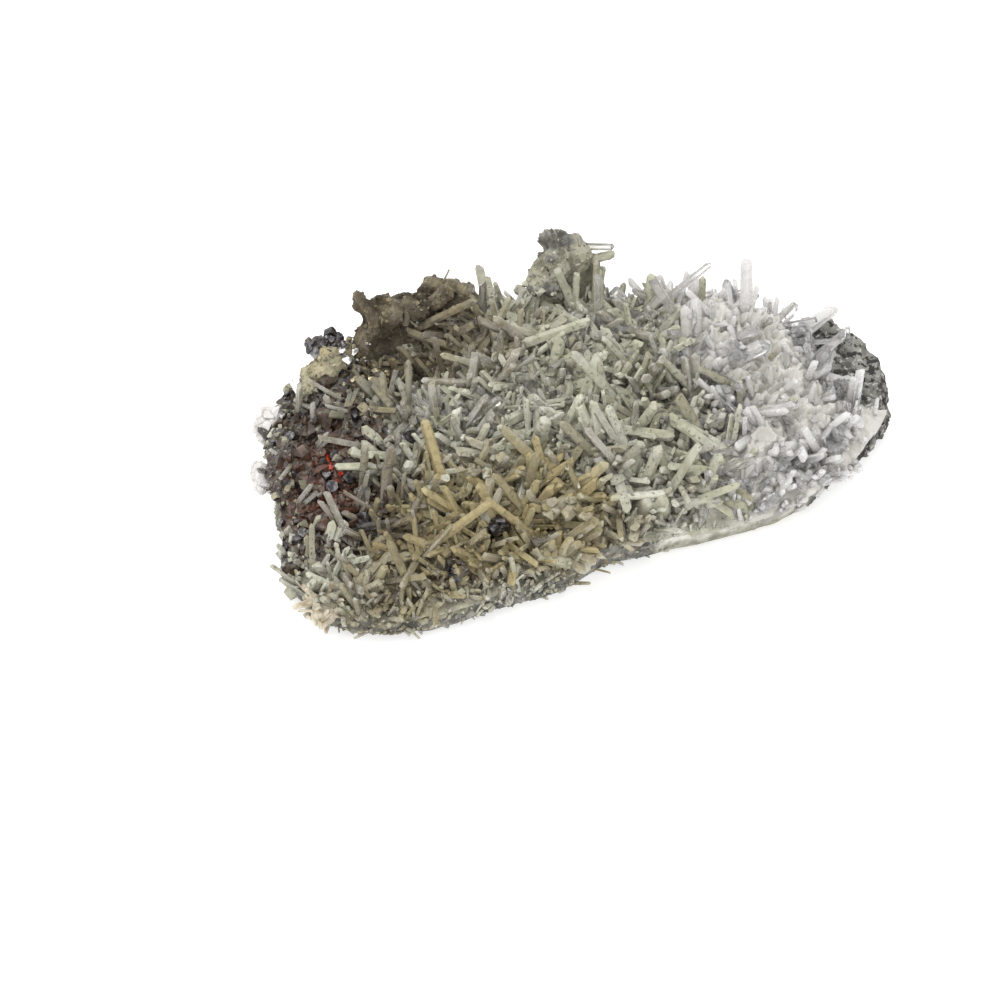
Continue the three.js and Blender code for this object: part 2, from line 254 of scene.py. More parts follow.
# %% Meshes
def add_object(name, data):
    obj = bpy.data.objects.new(name, data)
    bpy.context.scene.collection.objects.link(obj)
    return obj


def take_mesh(obj):
    """The mesh that an object's modifiers make. The object itself goes."""
    shown = obj.evaluated_get(bpy.context.evaluated_depsgraph_get())
    made = bpy.data.meshes.new_from_object(shown)
    bpy.data.objects.remove(obj)
    return made


def run_tree(tree, mesh, name, **values):
    """The mesh that the tree makes of `mesh`."""
    source = add_object(name + "_source", mesh)
    modifier = source.modifiers.new("grow", "NODES")
    modifier.node_group = tree
    for item in tree.interface.items_tree:
        key = item.name.replace(" ", "_").lower()
        if item.item_type == "SOCKET" and item.in_out == "INPUT" and key in values:
            modifier[item.identifier] = values[key]
    made = take_mesh(source)
    for index in reversed(range(len(made.materials))):
        if made.materials[index] is None:
            made.materials.pop(index=index)
    made.name = name
    return made


def piece(name, mesh, nodes=(), materials=()):
    """A finished piece of the specimen: it rides on the one body, and may stand for nodes."""
    obj = add_object(name, mesh)
    for material in materials:
        mesh.materials.append(material)
    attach(obj, "root")
    if nodes:
        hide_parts(*nodes)
    mesh.calc_loop_triangles()
    print(f"{name}: {len(mesh.loop_triangles)} triangles")


def to_mesh(bm, name):
    mesh = bpy.data.meshes.new(name)
    bm.to_mesh(mesh)
    bm.free()
    return mesh


def add_shape(bm, other):
    """Adds one shape to another."""
    spare = to_mesh(other, "spare")
    bm.from_mesh(spare)
    bpy.data.meshes.remove(spare)


def merged_copy(node):
    """A copy of a node's mesh, its loose triangles joined."""
    bm = bmesh.new()
    bm.from_mesh(frame["nodes"][node].data)
    bmesh.ops.remove_doubles(bm, verts=bm.verts, dist=0.002 * MM)
    return to_mesh(bm, node + "_copy")


def even_skin(mesh, size):
    """The same solid with an even skin of squares of this size."""
    obj = add_object("skin", mesh)
    remesh = obj.modifiers.new("even", "REMESH")
    remesh.mode = "VOXEL"
    remesh.voxel_size = size
    return take_mesh(obj)


def keep_outer_skin(mesh):
    """Drops any bubble inside the solid: only the skin that holds the highest point stays."""
    bm = bmesh.new()
    bm.from_mesh(mesh)
    ring = [max(bm.verts, key=lambda vert: vert.co.z)]
    kept = set(ring)
    while ring:
        ring = {edge.other_vert(vert) for vert in ring for edge in vert.link_edges} - kept
        kept |= ring
    bmesh.ops.delete(bm, geom=[vert for vert in bm.verts if vert not in kept], context="VERTS")
    bm.to_mesh(mesh)
    bm.free()


# %% Paint
def vertices_mm(mesh):
    places = np.empty(len(mesh.vertices) * 3)
    mesh.vertices.foreach_get("co", places)
    return places.reshape(-1, 3) / MM


def normals_of(mesh):
    normals = np.empty(len(mesh.vertices) * 3)
    mesh.vertices.foreach_get("normal", normals)
    return normals.reshape(-1, 3)


def move_vertices(mesh, places):
    mesh.vertices.foreach_set("co", (places * MM).ravel())


def paint(mesh, **layers):
    """Writes numbers, one per vertex or one for all, under names that nodes can read."""
    for name, values in layers.items():
        attribute = mesh.attributes.get(name) or mesh.attributes.new(name, "FLOAT", "POINT")
        every = np.full(len(mesh.vertices), values, dtype=np.float32)
        attribute.data.foreach_set("value", every)

# %% [markdown]
# ## Camera
# The view is from the front left, 42 degrees above the table, through a long lens, so the
# specimen's own proportions show with little perspective.

# %% Camera
ELEVATION = math.radians(42)
AZIMUTH = math.radians(24)
DISTANCE = 0.9
LENS = 142.56
LOOK_AT = Vector((-20.59, -6.03, 0)) * MM
to_camera = Vector((
    -math.sin(AZIMUTH) * math.cos(ELEVATION),
    -math.cos(AZIMUTH) * math.cos(ELEVATION),
    math.sin(ELEVATION),
))
camera = add_object("camera", bpy.data.cameras.new("camera"))
camera.location = LOOK_AT + to_camera * DISTANCE
camera.rotation_euler = to_camera.to_track_quat("Z", "Y").to_euler()
camera.data.sensor_width = 36
camera.data.lens = LENS
bpy.context.scene.camera = camera
print("camera at", [round(v, 3) for v in camera.location], "m, lens", LENS, "mm")

# %% [markdown]
# ## Zones
# The specimen changes from end to end: clear and milky quartz on the right, khaki coated
# quartz in the middle, ochre in front, smoky brown in the hollow at the back. Each zone is
# a few soft round patches on the plan: middle, reach along X and Y, and strength.

# %% Zones
PATCHES = {
    "ochre": [
        (-27, -25, 19, 14, 1.0), (-42, -20, 15, 13, 0.7), (-12, -33, 14, 9, 0.6),
        (-12, 20, 16, 13, 0.4), (-55, -31, 18, 11, 0.6), (-48, 28, 9, 8, 0.8),
        (-40, 36, 5, 6, 0.4),
    ],
    "milk": [
        (62, -14, 28, 26, 1.0), (44, 6, 20, 18, 0.9), (48, -32, 18, 11, 1.0),
        (34, -22, 12, 10, 0.35), (28, -36, 16, 8, 0.7),
    ],
    "glassy": [
        (58, -12, 28, 24, 0.9), (-28, 3, 24, 7, 0.9), (36, 8, 22, 14, 0.6),
        (-8, 8, 10, 5, 0.5), (-48, -22, 7, 6, 0.5),
    ],
    "smoky": [
        (-27, 25, 17, 11, 1.0), (-20, 37, 19, 9, 1.0), (-39, 36, 9, 8, 0.8),
        (-53, -14, 8, 9, 1.0), (-44, 12, 9, 7, 0.8), (-62, 3, 14, 15, 0.7),
        (-57, -30, 16, 10, 0.35),
    ],
    "fine": [
        (-55, -32, 18, 12, 0.8), (-27, 22, 20, 13, 0.7), (-26, 3, 24, 8, 0.5),
        (-45, -36, 20, 8, 0.5),
    ],
}
SPHALERITE_ZONE = [
    (-90, 45), (-57, 45), (-53, 27), (-44, 22), (-43, 8), (-48, -4), (-51, -14), (-60, -18),
    (-90, -16),
]
BARE_TIP = [
    (55, 20), (58.5, 7), (57.5, -6), (58.5, -17), (64, -22), (95, -24), (95, 30), (55, 30),
]
OUTLINE = [
    (77, -11), (75, -3), (70, 4), (61, 9), (52, 15), (45, 23), (36, 26), (25, 27), (12, 31),
    (2, 34), (-8, 38), (-20, 41), (-32, 40), (-40, 33), (-50, 34), (-58, 31), (-66, 28),
    (-68, 17), (-73, 3), (-73, -6), (-77, -12), (-77, -22), (-73, -32), (-63, -39), (-51, -42),
    (-38, -41), (-22, -42), (-10, -39), (4, -40), (20, -41), (36, -41), (47, -37), (59, -31),
    (71, -23),
]
ROUND_PATCH, FLAT_PATCH = 1.0, 1.5  # the higher, the flatter the top and the steeper the side
FAR_OFF = 1e9


def away(x, y, middle, reach_x, reach_y):
    """The squared distance from a middle, in reaches."""
    return ((x - middle[0]) / reach_x) ** 2 + ((y - middle[1]) / reach_y) ** 2


def bump_at(x, y, middle, reach_x, reach_y):
    """1 in the middle, with a flat top and steep sides."""
    return np.exp(-away(x, y, middle, reach_x, reach_y) ** 2)


def patches_of(places, rows, power=ROUND_PATCH):
    total = np.zeros(len(places))
    for x, y, reach_x, reach_y, strength in rows:
        far = away(places[:, 0], places[:, 1], (x, y), reach_x, reach_y)
        total += strength * np.exp(-far ** power)
    return np.clip(total, 0, 1)


def zone_value(places, name):
    return patches_of(places, PATCHES[name], FLAT_PATCH)


def paint_zones(mesh):
    places = vertices_mm(mesh)
    paint(mesh, **{name: zone_value(places, name) for name in PATCHES})


def sides_of(corners):
    return zip(corners, corners[1:] + corners[:1])


def to_edge(places, corners=OUTLINE):
    """Distance on the plan from each place to an outline."""
    nearest = np.full(len(places), FAR_OFF)
    for a, b in sides_of(corners):
        start, span = np.array(a, float), np.subtract(b, a).astype(float)
        share = np.clip((places[:, :2] - start) @ span / (span @ span), 0, 1)
        gap = places[:, :2] - start - share[:, None] * span
        nearest = np.minimum(nearest, np.hypot(gap[:, 0], gap[:, 1]))
    return nearest


def in_zone(places, corners):
    """1 inside the outline on the plan, else 0."""
    hit = np.zeros(len(places), bool)
    for (x0, y0), (x1, y1) in sides_of(corners):
        spans = (y0 > places[:, 1]) != (y1 > places[:, 1])
        if y0 != y1:
            hit ^= spans & (places[:, 0] < x0 + (places[:, 1] - y0) * (x1 - x0) / (y1 - y0))
    return hit.astype(float)


def ramp(values, low, high):
    """A smooth step from 0 at `low` to 1 at `high`."""
    share = np.clip((values - low) / (high - low), 0, 1)
    return share * share * (3 - 2 * share)


def rise_from(values, low, reach):
    """A straight slope from 0 at `low` to 1 at `reach` above it."""
    return np.clip((values - low) / reach, 0, 1)


print("zones:", list(PATCHES))

# %% [markdown]
# ## Finishes
# Several finishes share the same clay and the same growth lines, so both are node groups.
# The clay group mixes khaki, ochre and smoky brown by zone, then adds a fine grain and dark
# specks. The growth group gives the fine lines that run across a quartz prism, from the
# `along` value that each crystal carries. Colours are as a screen shows them, 0 to 255.

# %% Shader helpers
def shader_group(name, size, outputs):
    """A node group for shaders with one size as its input, 1 unless a material sets it."""
    tree = bpy.data.node_groups.new(name, "ShaderNodeTree")
    socket = tree.interface.new_socket(size, in_out="INPUT", socket_type="NodeSocketFloat")
    socket.default_value = 1.0
    for label in outputs:
        kind = "NodeSocketColor" if label == "Color" else "NodeSocketFloat"
        tree.interface.new_socket(label, in_out="OUTPUT", socket_type=kind)
    given = Term(tree, tree.nodes.new("NodeGroupInput").outputs[size])
    return tree, given, tree.nodes.new("NodeGroupOutput").inputs


def from_group(tree, group, output, **values):
    node = tree.nodes.new("ShaderNodeGroup")
    node.node_tree = group
    for label, value in values.items():
        feed(tree, node.inputs[label], value)
    return Term(tree, node.outputs[output])


def stored(tree, name):
    """The number that a piece's vertices or faces carry under this name."""
    return put(tree, "ShaderNodeAttribute", attribute_name=name).output("Fac")


def noise(tree, scale, detail, roughness=0.55):
    place = put(tree, "ShaderNodeTexCoord").output("Object")
    inputs = {"Vector": place, "Scale": scale, "Detail": detail, "Roughness": roughness}
    return put(tree, "ShaderNodeTexNoise", inputs)


def grainy(scale, detail, roughness=0.55):
    return lambda tree: noise(tree, scale, detail, roughness)


def varied(scale, detail, low, high, least, most):
    """A value that wanders from `least` to `most`."""
    return lambda tree: noise(tree, scale, detail).ease(low, high, least, most)


def finish(name, values, bump=None, **linked):
    """A material: plain values on the shader's own sockets, and what varies linked."""
    material = bpy.data.materials.new(name)
    material.use_nodes = True
    tree = material.node_tree
    sockets = tree.nodes["Principled BSDF"].inputs
    for label, value in values.items():
        sockets[label].default_value = value
    for label, make in linked.items():
        feed(tree, sockets[label.replace("_", " ")], make(tree))
    if bump:
        height, distance, strength = bump
        inputs = {"Height": height(tree), "Distance": distance, "Strength": strength}
        feed(tree, sockets["Normal"], put(tree, "ShaderNodeBump", inputs))
    return material


# %% Clay and growth lines
KHAKI, PALE_DUST, DULL_KHAKI = (180, 179, 157), (200, 199, 185), (132, 126, 104)
OCHRE, SMOKY = (165, 152, 114), (94, 80, 58)


def clay_colour(tree):
    tone = stored(tree, "tone")
    warm = stored(tree, "ochre") + (noise(tree, 160, 4) * 0.8 - 0.4) + (tone * 0.4 - 0.2)
    khaki = noise(tree, 70, 2).ease(0.35, 0.65).mix(KHAKI, PALE_DUST)
    tint = warm.ease(0.1, 0.9).mix(khaki, OCHRE)
    smoke = noise(tree, 210, 3).ease(0.4, 0.6).mix((60, 50, 36), (124, 110, 80))
    tint = (stored(tree, "smoky") * 0.85).mix(tint, smoke)
    tint = tone.ease(0.3, 1, 0.0, 0.6).mix(tint, DULL_KHAKI)
    tint = tint * noise(tree, 620, 4).ease(0.3, 0.62, 0.78, 1.02)
    specks = noise(tree, 1100, 2).ease(0.6, 0.67) * 0.6
    return specks.mix(tint, (74, 68, 53))


def clay_height(tree):
    return noise(tree, 900, 3) * 0.7 + noise(tree, 2600, 3) * 0.3


def growth_lines(tree, fineness):
    inputs = {"W": stored(tree, "along") * fineness, "Scale": 2.2, "Detail": 3.0}
    return put(tree, "ShaderNodeTexNoise", inputs, noise_dimensions="1D")


clay_group, depth, out = shader_group("settled clay", "Depth", ("Color", "Height"))
feed(clay_group, out["Color"], clay_colour(clay_group))
feed(clay_group, out["Height"], clay_height(clay_group) * depth)
growth_group, fineness, out = shader_group("growth lines", "Fineness", ("Height", "Veil"))
feed(growth_group, out["Height"], growth_lines(growth_group, fineness))
feed(growth_group, out["Veil"], noise(growth_group, 380, 3).ease(0.45, 0.7))


def clay_of(tree):
    return from_group(tree, clay_group, "Color", Depth=1.0)


print("shader groups:", [group.name for group in (clay_group, growth_group)])

# %% [markdown]
# ## Quartz and clay materials
# Clear quartz is real glass-like material: light passes through it with quartz's own
# refraction, 1.544. Milky quartz lets only part of the light through, and the rest scatters
# off its white veils. The clay is opaque and matt.

# %% Quartz and clay
QUARTZ_IOR = 1.544
WHITE_SCATTER = (1, 1, 1)  # all colours of light scatter as far


def glass_tint(milk_tint, clear_tint, dusty_tint):
    """White in the milky zone, greyer elsewhere, with thin films of clay and smoky brown."""
    def make(tree):
        tint = noise(tree, 300, 4).ease(0.4, 0.65).mix(clear_tint, dusty_tint)
        tint = (stored(tree, "ochre") * 0.6).mix(tint, OCHRE)
        tint = (stored(tree, "smoky") * 0.6).mix(tint, SMOKY)
        return stored(tree, "milk").ease(0.2, 0.8).mix(tint, milk_tint)
    return make


def glass_roughness(low, high):
    return lambda tree: from_group(tree, growth_group, "Veil").ease(0, 1, low, high)


def growth_height(tree):
    return from_group(tree, growth_group, "Height", Fineness=1.0)


clear_quartz = finish(
    "clear quartz",
    {"Transmission Weight": 0.85, "IOR": QUARTZ_IOR},
    bump=(growth_height, 0.03 * MM, 0.25),
    Base_Color=glass_tint((244, 243, 242), (236, 235, 232), (214, 211, 198)),
    Roughness=glass_roughness(0.06, 0.2),
)
milky_quartz = finish(
    "milky quartz",
    {
        "Transmission Weight": 0.3, "IOR": QUARTZ_IOR, "Subsurface Weight": 0.85,
        "Subsurface Scale": 5 * MM, "Subsurface Radius": WHITE_SCATTER,
    },
    bump=(growth_height, 0.05 * MM, 0.5),
    Base_Color=glass_tint((234, 231, 227), (186, 182, 172), (148, 143, 126)),
    Roughness=glass_roughness(0.18, 0.4),
)
clay_coat = finish(
    "clay coat",
    {"Roughness": 0.9, "Specular IOR Level": 0.25},
    bump=(lambda tree: from_group(tree, clay_group, "Height", Depth=1.0), 0.35 * MM, 0.75),
    Base_Color=clay_of,
)
print("quartz finishes:", [m.name for m in (clear_quartz, milky_quartz, clay_coat)])

# %% [markdown]
# ## The rock
# The rock's solid is a smooth wedge. A broken rock face is rough at every size, so the wedge
# is rebuilt as an even skin of small squares, and a node tree pushes that skin in and out:
# broad chips from a cell pattern, then finer grit. The underside stays flat.

# %% The weathering tree
weather, given = geometry_tree("weather the rock", {
    "Chip Size": "Float", "Chip Depth": "Float", "Grit Size": "Float", "Grit Depth": "Float",
    "Still": 0.6 * MM,  # below this height nothing moves
})
place = position(weather)
chips = cells(place, 1.0 / given["Chip Size"])
coarse = clouds(place, 0.4 / given["Chip Size"], 2.0)
grit = clouds(place, 1.0 / given["Grit Size"], 3.0)
push = (coarse + coarse - (chips + 0.6)) * given["Chip Depth"] + (grit - 0.5) * given["Grit Depth"]
height = put(weather, "ShaderNodeSeparateXYZ", {"Vector": place}).output("Z")
push = push * named(weather, "rough") * height.ease(given["Still"], given["Still"] * 4.0)
hand_back(moved(given["Geometry"], normal(weather) * push))


def weathered(mesh, name, chip, grit):
    """The skin pushed in and out. Chip and grit are each a size and a depth, in mm."""
    return run_tree(
        weather, mesh, name, chip_size=chip[0] * MM, chip_depth=chip[1] * MM,
        grit_size=grit[0] * MM, grit_depth=grit[1] * MM,
    )


print("the weathering tree:", len(weather.nodes), "nodes")

# %% [markdown]
# ## The knobs
# Four blocky knobs stand on the back edge and a knuckle at the tip. The frame has them as
# plain lumps. Here the tall one is drawn in to a peak, the left ones and the knuckle are
# raised, and the two lobes at the back swell into rounded lumps with creases between them.

# %% Shape the knobs
TOP_KNOB, LEFT_KNOB, TIP_KNUCKLE = (11, 31), (-49, 29), (68, -9)
KNOBS = [(11, 31, 11, 9), (-20, 37, 16, 9), (-34, 36, 10, 8), (-50, 30, 11, 8)]  # middle, reach
PEAK_FOOT = 24  # the height from which the tall knob draws in
BACK_LUMPS, TOP_LUMPS = 35, 40  # round lumps on the two lobes, and on the tall knob
SIDE_LUMP = (16.5, 31, 33.5)


def knob_value(places):
    """1 on the knobs, falling to 0 just past their feet."""
    total = np.zeros(len(places))
    for x, y, reach_x, reach_y in KNOBS:
        far = away(places[:, 0], places[:, 1], (x, y), reach_x, reach_y)
        total = np.maximum(total, np.clip(1.6 - 1.6 * far, 0, 1))
    return total


def lump_value(places):
    """Above 0 inside the nearest round lump, below 0 in the creases between lumps."""
    rng = np.random.default_rng(12)
    lumps = np.full(len(places), -1.0)
    for k in range(BACK_LUMPS + TOP_LUMPS):
        at_back = k < BACK_LUMPS
        low, high = ((-42, 29, 14), (-6, 43, 36)) if at_back else ((1, 25, 26), (21, 38, 44))
        middle = rng.uniform(low, high)
        radius = rng.uniform(3.8, 6.2) * (0.9 if at_back else 0.5)
        lumps = np.maximum(lumps, 1 - ((places - middle) ** 2).sum(axis=1) / radius ** 2)
    return np.maximum(lumps, 1 - ((places - SIDE_LUMP) ** 2).sum(axis=1) / 5 ** 2)


def shape_knobs(mesh):
    places, normals = vertices_mm(mesh), normals_of(mesh)
    x, y, z = places.T.copy()
    from_x, from_y = x - TOP_KNOB[0], y - TOP_KNOB[1]
    peak = (abs(from_x) < 12) & (abs(from_y) < 10) & (z > PEAK_FOOT)
    up = rise_from(z, PEAK_FOOT, 20)
    foot = 1 + 0.35 * np.clip(1 - abs(z - 30) / 7, 0, 1)
    drawn_in = TOP_KNOB[0] + from_x * (1 - 0.8 * up ** 2) * foot - 2 * up
    places[:, 0] = np.where(peak, drawn_in, x)
    places[:, 1] = np.where(peak, TOP_KNOB[1] + from_y * (1 - 0.6 * up ** 2), y)
    above = rise_from(z, 14, 8)
    left = bump_at(x, y, LEFT_KNOB, 11, 9) * above
    places += left[:, None] * (2.5, -1.5, 2.5)
    places[:, 0] += 2.5 * bump_at(x, y, (-43, 38), 6, 8) * above
    places[:, 2] += 3.5 * bump_at(x, y, (-34, 37), 8, 8) * above
    places[:, 2] += 4.0 * bump_at(x, y, TIP_KNUCKLE, 9, 12) * (normals[:, 2] > 0.2)
    lumps = lump_value(places)
    lobes = bump_at(x, y, (-21, 37), 17, 9) * rise_from(z, 8, 8)
    lobes = np.maximum(lobes, 0.45 * bump_at(x, y, (10, 31), 13, 11) * rise_from(z, PEAK_FOOT, 6))
    places += normals * (lobes * (3.2 * np.clip(lumps, -0.5, 0.6) - 0.6))[:, None]
    # painted shade: the creases between the lumps are marked, and the rock's colour goes dark brown
    # there as shade
    paint(mesh, crease=lobes * np.clip(0.75 - 2.0 * lumps, 0, 1))
    move_vertices(mesh, places)
    mesh.update()


# %% Rough rock
rock_mesh = even_skin(merged_copy("rock_matrix"), 0.75 * MM)
shape_knobs(rock_mesh)
places = vertices_mm(rock_mesh)
at_back = np.clip(normals_of(rock_mesh)[:, 1] * 2 - 0.4, 0, 1)
rough = 1 + 1.2 * knob_value(places) + 0.8 * in_zone(places, BARE_TIP) + 1.2 * at_back
paint(rock_mesh, rough=rough)
rock_mesh = weathered(rock_mesh, "vein_rock", chip=(5, 1.2), grit=(1.1, 0.9))
paint_zones(rock_mesh)
print("rock skin:", len(rock_mesh.polygons), "squares")

# %% [markdown]
# ## Crystal shapes
# A quartz crystal is a block cut by planes: six prism faces, and at the tip six sloping
# faces, of which three are larger. Real crystals are uneven because each plane sits at its
# own distance. Cutting a block of mesh plane by plane gives exactly such shapes, so each
# crystal comes from a seed, a length and a width. Some tips are broken off flat.

# %% Cut a crystal
TIP_SLOPE = math.radians(38.2)  # between a prism face and the tip face above it
TAPER = 0.012  # how far a prism face leans in over a height of 1
FACE_REACH = 0.433  # from the axis to a prism face, for a width of 1
EXACT = 1e-9  # a corner this close to a cut lies on it


def cut(bm, point, way, keep_both=False):
    found = bmesh.ops.bisect_plane(
        bm, geom=bm.verts[:] + bm.edges[:] + bm.faces[:],
        plane_co=point, plane_no=way, clear_outer=not keep_both, dist=EXACT,
    )
    rim = [e for e in found["geom_cut"] if isinstance(e, bmesh.types.BMEdge)]
    if rim and not keep_both:
        bmesh.ops.contextual_create(bm, geom=rim)


def up_axis(height):
    return Vector((0, 0, height))


def crystal_bmesh(width, length, seed, flat=0.85, broken=False, rungs=0, soften=0.0):
    """A prism along +Z with its root at the origin. All sizes are in millimetres."""
    rng = np.random.default_rng(seed)
    bm = bmesh.new()
    box = Matrix.Diagonal((2 * width, 2 * width, length, 1))
    bmesh.ops.create_cube(bm, size=1, matrix=Matrix.Translation(up_axis(length / 2)) @ box)
    turns = [math.radians(60 * k + rng.uniform(-3, 3)) for k in range(6)]
    for turn in turns:
        out = Vector((math.cos(turn), math.sin(turn), TAPER))
        reach = FACE_REACH * width * rng.uniform(0.88, 1.08)
        reach *= 1 - (1 - flat) * abs(math.sin(turn))
        cut(bm, out * reach, out)
    shift = Vector((rng.uniform(-0.12, 0.12), rng.uniform(-0.12, 0.12), 0)) * width
    for k, turn in enumerate(turns):
        minor = k % 2
        out = Vector((
            math.cos(turn) * math.cos(TIP_SLOPE),
            math.sin(turn) * math.cos(TIP_SLOPE),
            math.sin(TIP_SLOPE),
        ))
        rise = length + width * (rng.uniform(0.05, 0.35) if minor else rng.uniform(-0.12, 0.02))
        cut(bm, up_axis(rise) + shift, out)
    if broken:
        for _ in range(2):
            out = Vector((rng.uniform(-0.9, 0.9), rng.uniform(-0.9, 0.9), 1))
            cut(bm, up_axis(length - rng.uniform(0.4, 0.8) * width), out)
    if soften:
        bmesh.ops.bevel(
            bm, geom=bm.edges[:], offset=soften, segments=1,
            affect="EDGES", clamp_overlap=True,
        )
    for k in range(1, rungs):
        cut(bm, up_axis(length * k / rungs), up_axis(1), keep_both=True)
    bmesh.ops.recalc_face_normals(bm, faces=bm.faces[:])
    along = bm.verts.layers.float.new("along")
    for vert in bm.verts:
        vert[along] = vert.co.z
    return bm


# %% Patterns for the small crystals
SLENDER = [2.2, 2.5, 2.8, 3.1, 3.4, 3.8, 4.2, 4.7, 5.2, 5.8]  # length over width
FLATNESS = (0.85, 0.6, 0.72, 0.5)
ROOT, ROOT_DEPTH = 0.3, 0.6  # what is lower than the first goes down by the second


def single(aspect, seed):
    flat = FLATNESS[seed % len(FLATNESS)]
    return crystal_bmesh(1, aspect, seed, flat=flat, broken=seed % 3 == 1, rungs=2)


def sheaf(aspect, seed, count):
    """Crystals side by side, as they often grow: nearly parallel, and of unequal length."""
    rng = np.random.default_rng(seed)
    bm = single(aspect, seed)
    for k in range(1, count):
        other = single(aspect * rng.uniform(0.55, 0.9), seed + 50 * k)
        around = rng.uniform(0, 2 * math.pi)
        beside = Matrix.Translation((0.55 * math.cos(around), 0.4 * math.sin(around), 0))
        lean, axis = math.radians(rng.uniform(4, 16)), Vector((*rng.normal(size=2), 0))
        twist = Matrix.Rotation(rng.uniform(-0.4, 0.4), 4, "Z")
        other.transform(beside @ Matrix.Rotation(lean, 4, axis) @ twist)
        add_shape(bm, other)
    return bm


def patterns(name, shapes, rooted=False):
    """A collection that is in no scene, for the tree to pick its shapes from."""
    made = bpy.data.collections.new(name)
    for k, bm in enumerate(shapes):
        for vert in bm.verts:
            if rooted and vert.co.z < ROOT:
                vert.co.z -= ROOT_DEPTH
        bm.transform(Matrix.Scale(MM, 4))
        made.objects.link(bpy.data.objects.new(f"{name}_{k:02d}", to_mesh(bm, f"{name}_{k}")))
    return made


singles = patterns("singles", [single(a, k) for k, a in enumerate(SLENDER)], rooted=True)
lone = [single(a, k + 10) for k, a in enumerate(SLENDER[1::2])]
grouped = [sheaf(a, k + 20, 2 + k % 2) for k, a in enumerate(SLENDER)]
sheaves = patterns("sheaves", lone + grouped, rooted=True)

# %% [markdown]
# ## The druse
# Hundreds of crystals that cover a surface are a job for Geometry Nodes. The tree scatters
# points on the rock where a painted mask allows, gives each a direction that leans away
# from upright, places one of the shapes there, and makes the result real mesh. Clay has
# settled on the faces that look up, so the last steps mark those faces and give them the
# clay material.

# %% The growing tree
SETTLED = (-0.2, -0.45, 0.87)  # the side that the clay settled from
FULL_TURN = 6.283
ON_TABLE = (-9, -9, 0.05 * MM)  # no crystal reaches below this height
grow, given = geometry_tree("grow crystals", {
    "Shapes": "Collection", "Body": "Material", "Coat": "Material", "Mask": "String",
    "Seed": "Int", "Spacing": "Float", "Width": "Float", "Lean": "Float", "Spray": "Float",
    "Sink": "Float", "Spread": 0.25, "Lift": 0.2, "Rise": 0.0, "Lowest": 0.05,
    "Settled": SETTLED, "Density": 2e6,  # so dense that only the spacing thins the points
})


def random(kind, low, high, extra):
    inputs = {"Min": low, "Max": high, "Seed": given["Seed"] + extra}
    return put(grow, "FunctionNodeRandomValue", inputs, data_type=kind)


points = put(
    grow, "GeometryNodeDistributePointsOnFaces",
    {
        "Mesh": given["Geometry"], "Distance Min": given["Spacing"],
        "Density Max": given["Density"],
        "Density Factor": named(grow, given["Mask"]), "Seed": given["Seed"],
    },
    distribute_method="POISSON",
)
upward, hem = points.output("Normal"), named(grow, "hem")
around = random("FLOAT_VECTOR", (-1, -1, -1), (1, 1, 1), 1)
sideways = around - maths("PROJECT", around, upward)
swirl = clouds(position(grow), 110.0, 1.0).output("Color") - (0.5, 0.5, 0.5)
way = upward + sideways * (given["Lean"] * (1.0 - hem * 0.8)) + swirl * given["Spray"]
way = way + put(grow, "ShaderNodeCombineXYZ", {"Z": given["Lift"] + hem * 0.5})
lowest = put(grow, "ShaderNodeCombineXYZ", {"X": -9.0, "Y": -9.0, "Z": given["Lowest"]})
way = maths("MAXIMUM", maths("NORMALIZE", way), lowest)
onto_bed = upward * (given["Rise"] * named(grow, "raised"))
placed = moved(points, onto_bed - way * given["Sink"])
placed = store(placed, "dusty", random("FLOAT", 0.0, 1.0, 2) < named(grow, "coat"))
placed = store(placed, "tone", random("FLOAT", 0.0, 1.0, 3))
turned = put(grow, "FunctionNodeAlignRotationToVector", {"Vector": way}, axis="Z")
twist = {"Axis": (0, 0, 1), "Angle": random("FLOAT", 0.0, FULL_TURN, 4)}
twist = put(grow, "FunctionNodeAxisAngleToRotation", twist)
turned = {"Rotation": turned, "Rotate By": twist}
turned = put(grow, "FunctionNodeRotateRotation", turned, rotation_space="LOCAL")
spread = random("FLOAT", 1.0 - given["Spread"], given["Spread"] + 1.0, 5)
finer = (1.0 - named(grow, "fine") * 0.35) * (1.0 - hem * 0.5)
shapes = put(grow, "GeometryNodeCollectionInfo", {
    "Collection": given["Shapes"], "Separate Children": True, "Reset Children": True,
})
crystals = put(grow, "GeometryNodeInstanceOnPoints", {
    "Points": placed, "Instance": shapes, "Pick Instance": True,
    "Instance Index": random("INT", 0, 99, 6), "Rotation": turned,
    "Scale": given["Width"] * spread * finer,
})
real = put(grow, "GeometryNodeRealizeInstances", {"Geometry": crystals})
above = maths("MAXIMUM", position(grow), ON_TABLE)
real = put(grow, "GeometryNodeSetPosition", {"Geometry": real, "Position": above})
facing = maths("DOT_PRODUCT", normal(grow), given["Settled"]).output("Value")
real = covered(store(real, "facing", facing, domain="FACE"), given["Body"])
reach = named(grow, "facing") + (clouds(position(grow), 700.0, 1.0) * 0.6 - 0.3)
least = named(grow, "tone") * 0.9 - 0.15
coated = named(grow, "dusty") * (reach > least)
hand_back(covered(real, given["Coat"], Selection=coated))


def grown(ground, name, shapes, body, mask, spacing, width, seed, coat=clay_coat,
          sink=0.0, rise=0.0, **more):
    """What the tree grows on a copy of the ground. Spacing, sink and rise are in mm."""
    return run_tree(
        grow, ground.copy(), name, shapes=shapes, body=body, coat=coat, mask=mask, seed=seed,
        spacing=spacing * MM, width=width, sink=sink * MM, rise=rise * MM, **more,
    )


def grow_piece(ground, name, shapes, body, *row, **more):
    """A layer that is a piece of its own."""
    mesh = grown(ground, name, shapes, body, *row, **more)
    piece(name, mesh)


print("the growing tree:", len(grow.nodes), "nodes")

